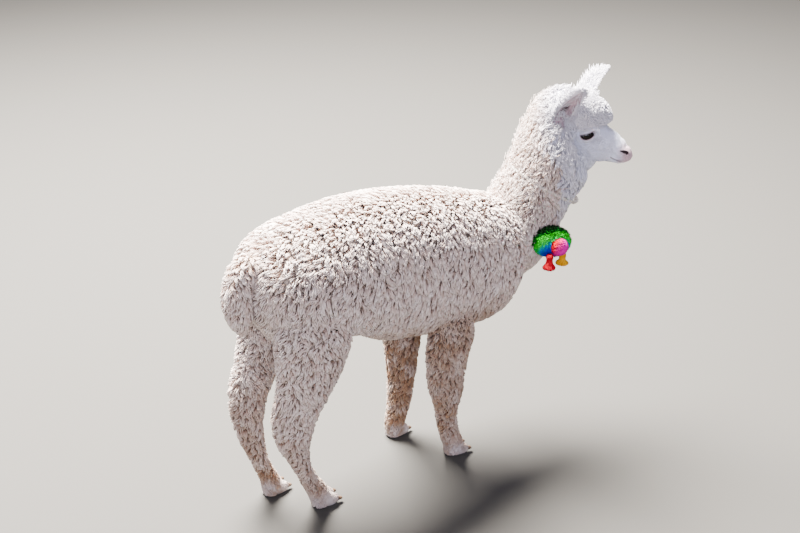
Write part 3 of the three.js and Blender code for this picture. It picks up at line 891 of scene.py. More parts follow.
def set_up(piece: Piece, material: Material, slot: str, *nodes: str) -> Piece:
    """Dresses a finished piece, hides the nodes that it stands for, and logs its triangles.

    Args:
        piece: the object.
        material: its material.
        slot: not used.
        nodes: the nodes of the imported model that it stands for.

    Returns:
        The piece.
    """
    piece.data.materials.clear()
    piece.data.materials.append(material)
    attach(piece, "root")
    if nodes:
        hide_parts(*nodes)
    log.info("%s: %d triangles", piece.name, sum(len(p.vertices) - 2 for p in piece.data.polygons))
    return piece


def baked(piece: Piece) -> Mesh:
    """Gives an object its mesh with the modifiers applied, and returns it."""
    graph = bpy.context.evaluated_depsgraph_get()
    mesh = bpy.data.meshes.new_from_object(piece.evaluated_get(graph), depsgraph=graph)
    piece.modifiers.clear()
    piece.data = mesh
    return mesh


def one_surface(shapes: Sequence[Surface], voxel: float, smoothing: int) -> Piece:
    """Closed shapes that run into each other, made one skin.

    Args:
        shapes: the shapes.
        voxel: the size of the cells that the skin is drawn on, in metres.
        smoothing: rounds of smoothing after it.

    Returns:
        The object with the one closed mesh.
    """
    piece = joined(shapes).piece("skin_part")
    remesh = piece.modifiers.new("one skin", "REMESH")
    remesh.mode = "VOXEL"
    remesh.voxel_size = voxel
    soften = piece.modifiers.new("soften", "SMOOTH")
    soften.factor = 0.5
    soften.iterations = smoothing
    baked(piece)
    return piece


class Change(Enum):
    """What a boolean does with the other object."""

    JOIN = "UNION"
    CUT = "DIFFERENCE"


def combine(base: Piece, others: Sequence[Piece], change: Change) -> None:
    """Joins others to a base, or cuts them from it, and removes them.

    Args:
        base: the closed object that is changed.
        others: closed objects.
        change: what is done with them.
    """
    for other in others:
        step = base.modifiers.new(change.name, "BOOLEAN")
        step.operation = change.value
        step.solver = "MANIFOLD"
        step.object = other
        baked(base)
        bpy.data.objects.remove(other)


def points_and_normals(mesh: Mesh) -> tuple[Array, Array]:
    """A mesh's points and the normals at them, as rows."""
    rows = np.empty((2, len(mesh.vertices) * 3), np.float32)
    mesh.vertices.foreach_get("co", rows[0])
    mesh.vertices.foreach_get("normal", rows[1])
    points, normals = rows.reshape(2, -1, 3).astype(float)
    return points, normals


def put_points(mesh: Mesh, points: Array) -> None:
    """Moves a mesh's points."""
    mesh.vertices.foreach_set("co", np.ascontiguousarray(points, np.float32).ravel())
    mesh.update()


def mirrored(h: Array) -> Array:
    """Points of the head's frame with the right half's put on the left."""
    return np.stack([h[:, 0], np.abs(h[:, 1]), h[:, 2]], -1)


def mound(p: Array, centre: Row, width: Row) -> Array:
    """How near points lie to a place: exp(-sum(((p - centre) / width)^2))."""
    return np.exp(-(((p - np.array(centre)) / np.array(width)) ** 2).sum(-1))


def groove(p: Array, path: Array, width: float) -> Array:
    """How near points lie to a line on the face: exp(-(d/width)^2), d the distance to a curve through path."""
    line = through(path, np.linspace(0, 1, 40))
    gap = np.sqrt(((p[:, None] - line[None]) ** 2).sum(-1)).min(1)
    return np.exp(-((gap / width) ** 2))


# ---- feet and ears


@dataclass(frozen=True)
class Foot:
    """Two toes on soft pads, a nail on each. Places in mm from the floor point between the hind feet."""

    name: str
    at: tuple[float, float]
    toe_out: float
    spread: float = 12.5
    splay: float = 5.0
    toe: tuple = ((-16, 0, 26, 12, 22, 30), (6, 0, 21, 13.5, 20, 26), (26, 0, 15, 13, 15, 20), (42, 0, 10, 9.5, 9, 14))
    nail: tuple = ((26, 0, 17, 5.6, 4.6, 8), (38, 0, 13, 5.2, 4.2, 7), (47, 0, 8.5, 3.8, 3.2, 4.2))

    def place(self, which: int) -> Array:
        """The frame of the toe on one side of the foot, which is -1 or 1."""
        x, y = np.array(self.at) - MIDDLE[:2]
        turn = math.radians(math.copysign(self.toe_out, self.at[1]) + which * self.splay)
        return shift(x * MM, y * MM, 0) @ rotation("Z", turn) @ shift(0, which * self.spread * MM, 0)

    def toes(self) -> list[Loft]:
        """The forms of the two toes."""
        return [Loft(self.toe, 0.25, 0.35, (UP, UP), place=self.place(which)) for which in (-1, 1)]

    def nail_form(self, which: int) -> Loft:
        """The form of one toe's nail."""
        return Loft(self.nail, 0.2, 0.3, (UP, UP), place=self.place(which))

    def nails(self, horn: Material) -> list[Piece]:
        """The two nails: the solid's own sweep in finer steps, its end worn to a blunt edge."""
        pieces = []
        for which in (-1, 1):
            place = "inner" if which * self.at[1] < 0 else "outer"
            node = f"{self.name}_nail_{place}"
            piece = self.nail_form(which).mesh(26, 20, 0.0).piece(f"{node}_horn")
            pieces.append(set_up(piece, horn, "nail", node))
        return pieces


FEET = (
    Foot("hind_right", (34, -50), 6),
    Foot("hind_left", (-40, 57), 4),
    Foot("front_right", (412, -76), 8),
    Foot("front_left", (338, 76), 6),
)


@dataclass(frozen=True)
class Ear:
    """A spear-shaped ear, curled round its hollow, in a frame with +Z up its length and +X to its opening."""

    side: Side
    at: tuple[float, float, float]
    forward: float
    out: float
    opening: float
    length: float
    width: float
    profile: tuple = ((-16, 0, 12, 9), (12, 0, 20, 11), (40, 1, 23, 11), (68, 3, 18, 9), (92, 7, 9, 6), (108, 11, 3, 3))
    fur: float = 3.2  # mm that the hair stands beyond the skin
    wall: float = 2.2

    @property
    def name(self) -> str:
        """The ear's node."""
        return f"ear_{self.side.label}"

    def place(self) -> Array:
        """The ear's frame in the model."""
        sign = self.side.value
        local = shift(*(np.array(self.at) * MM)) @ rotation("X", math.radians(-sign * self.out))
        local = local @ rotation("Y", math.radians(self.forward)) @ rotation("Z", math.radians(sign * self.opening))
        return HEAD_FRAME @ local @ np.diag([self.width, self.width, self.length, 1.0])

    def local_mm(self, points: Array) -> Array:
        """Points of the model in the ear's own frame, in millimetres."""
        return carried(np.linalg.inv(self.place()), points) / MM

    def at_share(self, u: Array, v: Array, lift: Array | float) -> Array:
        """Points of the leaf: a curled sheet.

        Across, u in -1..1 sweeps an arc of half-angle A(v), 108 degrees at the root and 60 at the tip, with the
        profile's half-width w and depth d: X = x0 - d cos(uA), Y = w sin(uA) / max sin.

        Args:
            u: place across, from edge to edge.
            v: place along, from root to tip.
            lift: distance out from the leaf's back, in mm.

        Returns:
            Points in the model.
        """
        table = through(np.array(self.profile, float), v)
        half = np.radians(108 - 48 * smoothstep(0.05, 0.8, v))
        angle = u * half
        width = table[..., 2] - self.fur
        depth = table[..., 3] - self.fur * 0.6
        widest = np.where(half > math.pi / 2, 1.0, np.sin(half))
        x = table[..., 1] - np.cos(angle) * (depth + lift)
        y = np.sin(angle) / widest * (width + lift)
        z = table[..., 0] + lift * smoothstep(0.85, 1.0, v)
        return carried(self.place(), np.stack([x, y, z], -1) * MM)

    def leaf(self) -> Surface:
        """The ear's skin, as a closed wall: the back sheet, the inner sheet, and rounded rims between."""
        rows, half = 44, 22
        v = np.linspace(0, 0.985, rows)
        u = np.linspace(-1, 1, half)
        across = np.concatenate([u, u[::-1]])
        lift = np.concatenate([np.zeros(half), np.full(half, -self.wall)])
        thin = 1 - 0.5 * smoothstep(0.7, 1, v)
        grid_u, grid_v = np.meshgrid(across, v)
        points = self.at_share(grid_u, grid_v, lift[None] * thin[:, None])
        ends = points[[0, -1]].mean(1)
        return Surface(np.vstack([points.reshape(-1, 3), ends]), grid_faces(rows, 2 * half))


EARS = (
    Ear(Side.RIGHT, (-71, -48, 16), 31, 4, 62, 1.12, 1.1),
    Ear(Side.LEFT, (-60, 42, 28), 30, 15, 40, 1.28, 1.35),
)


# ---- the head's details


@dataclass(frozen=True)
class Lids:
    """The lids of one eye, in the head's frame and mm: a flat upper edge and a curved lower one, tilted forward."""

    corner: tuple[float, float] = (0.0, 1.8)
    tilt: float = 17.0
    half: float = 16.8
    above: float = 2.0
    below: float = 11.5
    reach: float = 13.0

    def edge(self, angle: Array) -> tuple[Array, Array, Array, Array]:
        """The opening's edge: x = a cos f, z = b sin f with b by side, turned by the tilt; and its outward normal."""
        rise = np.where(np.sin(angle) > 0, self.above, self.below)
        x, z = self.half * np.cos(angle), rise * np.sin(angle)
        nx, nz = np.cos(angle) / self.half, np.sin(angle) / rise
        nz = nz * np.where(np.sin(angle) > 0, 0.45, 1.0)
        length = np.hypot(nx, nz)
        c, s = math.cos(math.radians(self.tilt)), math.sin(math.radians(self.tilt))
        nx, nz = nx / length, nz / length
        return self.corner[0] + x * c - z * s, self.corner[1] + x * s + z * c, nx * c - nz * s, nx * s + nz * c

    def face_height(self, x: Array, z: Array) -> Array:
        """How far out the face lies at (x, z): side reach * (1 - (|z - z0| / up or down reach)^q)^(1/q)."""
        face = HEAD["face"]
        table = through(face.table / MM, np.linspace(0, 1, 200))
        centre, side, up, down = (np.interp(x, table[:, 0], table[:, k]) for k in (2, 3, 4, 5))
        share = np.clip(np.abs(z - centre) / np.where(z > centre, up, down), 0, 0.97)
        flat = (side - 1.5) * (1 - share**face.square) ** (1 / face.square)
        brow = 1 - ((x + 1) / 24) ** 2 - ((z - 13) / 6) ** 2
        return np.maximum(flat, np.where(brow > 0, 29 + 8.5 * np.sqrt(np.maximum(brow, 0)), 0))

    def height(self, x: Array, z: Array, lift: float, face: float) -> Array:
        """The soft maximum, over 2.5 mm, of the eyeball's cap plus lift and the face plus an amount."""
        radius = np.hypot(x - EYE_AT[0], z - EYE_AT[2])
        ball = EYE_AT[1] + np.sqrt(np.maximum((EYE_RADIUS + lift) ** 2 - radius**2, 0))
        soft = 2.5
        return soft * np.logaddexp(ball / soft, (self.face_height(x, z) + face) / soft)

    def ring(self, sign: int) -> Surface:
        """The lids as one closed ring: out over the lid, under the face's skin, and back along the eyeball."""
        around = 96
        angle = np.arange(around) * math.tau / around
        outer = [(0.0, 1.1, -3.5), (0.25, 1.75, -3.0), (0.9, 2.2, -2.0), (2.2, 2.4, -1.2), (4.0, 2.3, -0.8),
                 (6.5, 1.8, -0.6), (9.0, 1.2, -0.5), (11.5, 0.6, -0.9), (self.reach, 0.0, -2.6)]
        inner = [(self.reach - 1, 0.2, -6.0), (7.0, 0.25, -7.0), (3.0, 0.3, -7.0), (0.6, 0.35, -6.0)]
        x, z, nx, nz = self.edge(angle)
        rows = []
        upper = np.maximum(np.sin(angle), 0)
        for away, lift, face in outer + inner:
            px, pz = x + nx * away * (1 - 0.25 * upper), z + nz * away * (1 - 0.25 * upper)
            fold = -0.9 * np.exp(-(((away - 7.5) / 1.6) ** 2)) * upper ** 0.5
            rows.append(np.stack([px, self.height(px, pz, lift, face) - 1.7 + fold, pz], -1))
        points = np.stack(rows, 1)
        points[..., 1] *= sign
        count = len(outer) + len(inner)
        flat = carried(HEAD_FRAME, points.reshape(-1, 3) * MM)
        row, col = np.meshgrid(np.arange(around), np.arange(count), indexing="ij")
        a = row * count + col
        b = row * count + (col + 1) % count
        c = (row + 1) % around * count + (col + 1) % count
        d = (row + 1) % around * count + col
        faces = np.stack([a, b, c, a, c, d], -1).reshape(-1, 3)
        return Surface(flat, faces if sign > 0 else faces[:, ::-1])


# Lines on the face's left half, in mm of the head's frame.
NOSTRIL = np.array([(75, 20, -37.5), (81, 19.5, -38.5), (87, 17.5, -40.5), (92, 14.5, -43), (93.5, 13, -47.5)])
LIP_LINE = np.array([(55, 0, -56.5), (64, 0, -61.5), (74, 0, -65.2), (84, 0, -65), (94, 0, -61.5), (112, 0, -57)])
EYE_CREASE = np.array([(-34, 36, -1.0), (-30, 38, -6), (-25, 39, -13), (-17, 39, -20), (-8, 39, -24)])
FACE_FOLD = np.array([(12, 35, -36.0), (24, 33, -38), (34, 30, -39), (44, 27, -39)])
MIDPLANE = np.array([1, 0, 1])  # what a point is multiplied by to lie on it
ANY = math.inf  # a width that leaves its axis out


@dataclass
class Skin:
    """One skin for all of the flesh, under the coat by its depth, with the face's details worked into it."""

    body_voxel: float = 6.0 * MM
    head_voxel: float = 1.75 * MM
    toe_fur: float = 1.5 * MM
    floor_gap: float = 0.6 * MM
    lids: Lids = Lids()

    def body(self) -> Piece:
        """Trunk, neck, tail, legs and toes as one closed surface."""
        shapes = under_coat(BODY, 90, 48)
        for foot in FEET:
            shapes += [toe.mesh(24, 24, self.toe_fur) for toe in foot.toes()]
        piece = one_surface(shapes, self.body_voxel, 6)
        points, _ = points_and_normals(piece.data)
        points[:, 2] = np.maximum(points[:, 2], self.floor_gap)
        put_points(piece.data, points)
        return piece

    def head(self) -> Piece:
        """Face, skull under the topknot, cheeks and brows as one finer surface, then its folds."""
        shapes = under_coat(HEAD, 80, 60)
        for sign in (-1, 1):
            shapes.append(ellipsoid((-1, sign * 29, 13), (24, 8.5, 6)).moved(HEAD_MM))
        piece = one_surface(shapes, self.head_voxel, 7)
        points, normals = points_and_normals(piece.data)
        h = head_mm(points)
        left, flat = mirrored(h), h * MIDPLANE
        lip = np.array([0, 0, 3.5])
        push = -1.7 * groove(left, EYE_CREASE, 2.6)
        push -= 1.1 * groove(left, FACE_FOLD, 2.4)
        push += 1.8 * groove(left, NOSTRIL, 6.0)
        push -= 1.5 * mound(h, (20, 0, -12), (12, ANY, 9)) * (left[:, 1] > 20)
        push += 3.0 * mound(h, (95, 0, -30), (8, 12, 8))
        push -= 2.2 * mound(h, (97, 0, -57), (9, ANY, 7))
        push += 1.3 * groove(flat, LIP_LINE + lip, 3.0) * (h[:, 0] > 52)
        push += 0.9 * groove(flat, LIP_LINE - lip, 2.6) * (h[:, 0] > 52)
        split = mound(h, (0, 0, 0), (ANY, 1.8, ANY))
        push -= 1.0 * split * smoothstep(90, 98, h[:, 0]) * smoothstep(-44, -50, h[:, 2])
        put_points(piece.data, points + normals * (push * MM)[:, None])
        return piece

    def cutters(self) -> list[Piece]:
        """What is cut from the head: the eyes' room, the nostrils and the slit between the lips."""
        cuts = []
        share = np.linspace(0, 1, 24)
        radius = 0.9 + 3.5 * smoothstep(0, 0.7, share) * (1 - 0.4 * smoothstep(0.85, 1, share))
        for sign in (-1, 1):
            side = np.array([1, sign, 1])
            cuts.append(ellipsoid(EYE_AT * side, (EYE_RADIUS + 0.5,) * 3, 40))
            cuts.append(tube(through(NOSTRIL, share) * side, radius, 12))
        cuts.append(self.lip_slit())
        return [cut.moved(HEAD_MM).facing_out().piece("cutter") for cut in cuts]

    def lip_slit(self) -> Surface:
        """The slit along the lip line, right across the muzzle: 0.6 mm high, and up to 3.5 near its corner."""
        count = 40
        share = np.linspace(0, 1, count)
        line = through(LIP_LINE, share)
        gap = 0.6 + 2.9 * np.exp(-(((share - 0.24) / 0.15) ** 2))
        corners = []
        for y, z in ((-40, -1), (40, -1), (40, 1), (-40, 1)):
            corners.append(np.stack([line[:, 0], np.full(count, float(y)), line[:, 2] + z * gap / 2], -1))
        points = np.stack(corners, 1).reshape(-1, 3)
        points = np.vstack([points, points[:4].mean(0), points[-4:].mean(0)])
        return Surface(points, grid_faces(count, 4)[:, ::-1])

    def build(self) -> Piece:
        """Joins body, head, ears and lids, cuts the openings, and puts the markings on every point."""
        skin = self.body()
        head = self.head()
        combine(head, self.cutters(), Change.CUT)
        rings = [self.lids.ring(sign).facing_out().piece("lids") for sign in (-1, 1)]
        leaves = [ear.leaf().facing_out().piece("ear") for ear in EARS]
        combine(head, rings, Change.JOIN)
        combine(skin, [head] + leaves, Change.JOIN)
        skin.name = "skin"
        skin.data.name = "skin"
        self.mark(skin.data)
        skin.data.polygons.foreach_set("use_smooth", np.full(len(skin.data.polygons), True))
        fleshed = ["trunk", "tail", "neck", "head", "ear_right", "ear_left"]
        fleshed += [f"{foot.name}_{part}" for foot in FEET for part in ("leg", "foot")]
        return set_up(skin, Hide().material(), "face_hair", *fleshed)

    def mark(self, mesh: Mesh) -> None:
        """Writes the markings and the dark places, most of them painted shade in openings and creases, into the skin's
        mesh.
        """
        points, normals = points_and_normals(mesh)
        h = head_mm(points)
        left = mirrored(h)
        cheek = left[:, 1] > 20
        path = through(NOSTRIL, np.linspace(0, 1, 30))
        to_path = path[((left[:, None] - path[None]) ** 2).sum(-1).argmin(1)] - left
        facing = normals @ HEAD_FRAME[:3, :3]
        facing[:, 1] *= np.where(h[:, 1] < 0, -1, 1)
        slit = groove(h * MIDPLANE, LIP_LINE, 2.1) * (h[:, 0] > 53) * smoothstep(90, 74, h[:, 0])
        # The ears' dark marks: brown blotches of their own, and painted shade over the hollows.
        hollow, ear_darkening = self.ear_marks(points, normals)
        front = smoothstep(2, 16, h[:, 0]) + 0.6 * smoothstep(2, -8, h[:, 2])
        values = MARKINGS.values(points)
        values["bare"] = np.maximum.reduce([
            values["bare"],
            self.lid_edge(left, 3.2) * np.clip(0.35 + front, 0, 1),
            hollow,
        ])
        # The dark places: painted shade inside the nostrils, in the mouth's slit, the eye's crease and the face's fold;
        # a painted shadow line round the lids' edge; darker at the eye's front corner; and the ears' marks.
        values["dark"] = np.maximum.reduce([
            0.8 * groove(left, NOSTRIL, 2.4) * (h[:, 0] > 76),
            smoothstep(-0.1, 0.35, (facing * unit(to_path)).sum(1)) * (np.linalg.norm(to_path, axis=1) < 7),
            0.95 * slit,
            0.75 * groove(left, EYE_CREASE, 2.2),
            0.35 * groove(left, FACE_FOLD, 2.0),
            0.85 * self.lid_edge(left, 1.5),
            0.6 * mound(h, (17.5, 0, 7), (3.5, ANY, 2.5)) * cheek,
            ear_darkening,
        ])
        for label, value in values.items():
            mesh.attributes.new(label, "FLOAT", "POINT").data.foreach_set("value", value.astype(np.float32))

    def ear_marks(self, points: Array, normals: Array) -> tuple[Array, Array]:
        """How bare the ears' hollows are, and how dark: brown blotches of their own, and painted shade over each
        hollow, deeper towards its sides.
        """
        hollow, dark = np.zeros(len(points)), np.zeros(len(points))
        for ear in EARS:
            local = ear.local_mm(points)
            x, y, z = np.abs(local).T
            inside = (local[:, 2] > 2) & (z < 112) & (y < 24) & (x < 16)
            axis = unit(ear.place()[:3, :3].T)
            curl = normals @ axis[0] - (normals @ axis[1]) * np.sign(local[:, 1]) * 0.7
            facing = smoothstep(0.05, 0.4, curl) * inside
            ear_darkening = 1.5 * mound(local, (0, -7, 47), (ANY, 7.5, 12)) + 0.8 * mound(local, (0, -9, 33), (ANY, 5, 6))
            # Painted shade over the whole hollow, mottled, and deeper towards its sides.
            shade = 0.3 + 0.2 * Ripple(0.012, 31)(points) + 0.25 * smoothstep(9, 17, y)
            hollow = np.maximum(hollow, 0.85 * facing)
            dark = np.maximum(dark, np.clip(np.maximum(ear_darkening, shade), 0, 0.97) * inside * (facing > 0.3))
        return hollow, dark

    def lid_edge(self, h: Array, width: float) -> Array:
        """Nearness to the lids' edge, over a width in mm."""
        x, z, _, _ = self.lids.edge(np.linspace(0, math.tau, 80))
        gap = np.hypot(h[:, None, 0] - x[None], h[:, None, 2] - z[None]).min(1)
        return np.exp(-((gap / width) ** 2)) * (h[:, 1] > 24) * (h[:, 1] < 52)


# ---- strands


def strand_faces(rings: int) -> Array:
    """Triangles of one strand: a three-sided sleeve, closed by a triangle at its root and a fan at its tip."""
    tri = [(0, 2, 1)]
    for r in range(rings - 1):
        for c in range(3):
            a, b = r * 3 + c, r * 3 + (c + 1) % 3
            tri += [(a, b, b + 3), (a, b + 3, a + 3)]
    last, tip = (rings - 1) * 3, rings * 3
    tri += [(last + c, last + (c + 1) % 3, tip) for c in range(3)]
    return np.array(tri)


SKIRT = 0.3  # how far a strand's two lower edges lie under its path, as a share of its half width
RIDGE = 0.85  # how far its upper edge lies over it
PATCH = 0.003  # a strand's own patch of the bake map
TILE = 0.25  # one form's square of the bake map, of which it fills 0.23
TILES = ("trunk", "neck", "tail") + LEGS + ("topknot", "cheeks", "face", "ear_right", "ear_left", "lids", "pompom",
                                            "tassel_red", "tassel_yellow")


def chart_place(form: str, across: Array, along: Array) -> Array:
    """Places on the bake map: each form's own unrolled surface, in its square of a four-by-four sheet."""
    row, column = divmod(TILES.index(form), 4)
    return np.stack([across, along], -1) * (TILE - 0.02) + np.array([column, row]) * TILE + 0.01


def laid(lie: Array, out: Array) -> Array:
    """Directions laid into a surface: each less its part along the outward one, and made a unit."""
    return unit(lie - out * (lie * out).sum(-1, keepdims=True))


def strands(path: Array, out: Array, half: Array, spin: Array, values: dict[str, Array], chart: Array) -> Surface:
    """Closed three-sided strands along paths.

    With T the path's direction, B = T x out and R = B x T, both turned about T by the strand's spin, a ring's three
    points are P - hB - 0.3hR, P + hB - 0.3hR and P + 0.85hR, and the last path point is the tip.

    Args:
        path: for each strand, its points from root to tip.
        out: for each strand, the direction that its ridge faces.
        half: half the width at each path point.
        spin: the turn of each strand about its own path.
        values: numbers of each strand, given to all of its points.
        chart: for each strand, its root's place on the bake map.

    Returns:
        The strands, with along rising from 0 at the roots to 1 at the tips.
    """
    count, rings = path.shape[0], path.shape[1] - 1
    tangent = unit(np.gradient(path, axis=1))
    beside = unit(np.cross(tangent, out[:, None]))
    ridge = np.cross(beside, tangent)
    spin = spin[:, None, None]
    edge = beside * np.cos(spin) + ridge * np.sin(spin)
    top = ridge * np.cos(spin) - beside * np.sin(spin)
    half = half[..., None]
    below = top * half * SKIRT
    section = np.stack([path - edge * half - below, path + edge * half - below, path + top * half * RIDGE], 2)
    points = np.concatenate([section[:, :-1].reshape(count, -1, 3), path[:, -1:]], 1)
    per = rings * 3 + 1
    share = np.linspace(0, 1, rings + 1)
    along = np.concatenate([np.repeat(share[:-1], 3), [1.0]])
    patch = np.stack([np.append(np.tile([0, 1, 0.5], rings), 0.5), along], -1) * PATCH - PATCH / 2
    carried_values = {label: np.repeat(value, per) for label, value in values.items()}
    carried_values["along"] = np.tile(along, count)
    index = (strand_faces(rings)[None] + (np.arange(count) * per)[:, None, None]).reshape(-1, 3)
    bake = (chart[:, None] + patch[None]).reshape(-1, 2)
    return Surface(points.reshape(-1, 3), index, carried_values, bake)


def swept_hair(roots: Array, out: Array, lie: Array, length: Array, rise: Array, width: float, curl: float,
               rng: Rng, chart: Array, rings: int = 4) -> Surface:
    """Hairs that leave a surface and lie over: P(s) = root + L (lie s + out rise s (2 - s)) + across curl sin.

    Args:
        roots: where they grow.
        out: the surface's outward directions there.
        lie: the directions that they lie in.
        length: their lengths, in metres.
        rise: how much of the length they stand out by.
        width: their width in mm.
        curl: how far they wave to the side, in mm.
        rng: the source of their differences.
        chart: their roots' places on the bake map.
        rings: rings of each.

    Returns:
        The hairs as one surface.
    """
    count = len(roots)
    s = np.linspace(0, 1, rings + 1)[None, :, None]
    across = unit(np.cross(out, lie))[:, None]
    phase = rng.uniform(0, math.tau, count)[:, None, None]
    wave = (np.sin(5.5 * s + phase) - np.sin(phase)) * curl * MM * rng.uniform(0.4, 1.2, count)[:, None, None]
    stand = rise[:, None, None] * s * (2 - s)
    path = roots[:, None] + length[:, None, None] * (lie[:, None] * s + out[:, None] * stand) + across * wave
    taper = np.interp(s[0, :, 0], [0, 0.3, 0.75, 1.0], [0.8, 1.0, 0.7, 0.15])
    half = width * MM / 2 * rng.uniform(0.7, 1.25, count)[:, None] * taper[None]
    values = {"tone": np.clip(rng.normal(0.6, 0.2, count), 0, 1)} | MARKINGS.values(roots)
    return strands(path, out, half, rng.uniform(-0.8, 0.8, count), values, chart)


# ---- the coat


@dataclass(frozen=True)
class Locks:
    """How the locks of one form grow: sizes in mm, and the lie as a direction at each root."""

    form: str
    spacing: float
    strands: int
    width: float
    length: float
    crimp: float
    lie: Lie
    pieces: int = 1
    spread: float = 0.42  # a lock's width at its root, as a share of the spacing
    waves: float = 0.95
    gather: float = 0.4  # how much of that width the tips give up
    finer: float = 0.0  # how much thinner the strands are at the form's far end
    over: float = -0.5  # mm beyond the solids' outline that the tips reach at most
    rings: int = 5
    slot: str = "fleece"
    label: str = ""  # what the pieces are called, when not by their form
    keep: Keep | None = None


def to_model(direction: Array) -> Array:
    """A direction of the head's frame, in the model's."""
    return direction @ HEAD_FRAME[:3, :3].T


def steady(x: float, y: float, z: float) -> Lie:
    """A lie that is the same everywhere."""
    return lambda p: np.broadcast_to(np.array([x, y, z]), p.shape)


def topknot_lie(p: Array) -> Array:
    """Out from the crown, more forwards than back."""
    h = head_mm(p)
    out = np.stack([h[:, 0] + 45, h[:, 1] * 1.2, -0.5 * np.abs(h[:, 1]) - 8], -1)
    return to_model(unit(out))


def face_lie(p: Array) -> Array:
    """Back from the nose, and down over the jaw."""
    h = head_mm(p)
    fall = -0.25 - 0.6 * smoothstep(-20, -60, h[:, 2])
    return to_model(unit(np.stack([np.full(len(h), -1.0), 0 * fall, fall], -1)))


ROW_SPACING = 0.87  # of the locks, which stand in a hexagonal net: the sine of 60 degrees
SHAKE = 0.3  # how far a lock may stand from its place in the net, as a share of the spacing


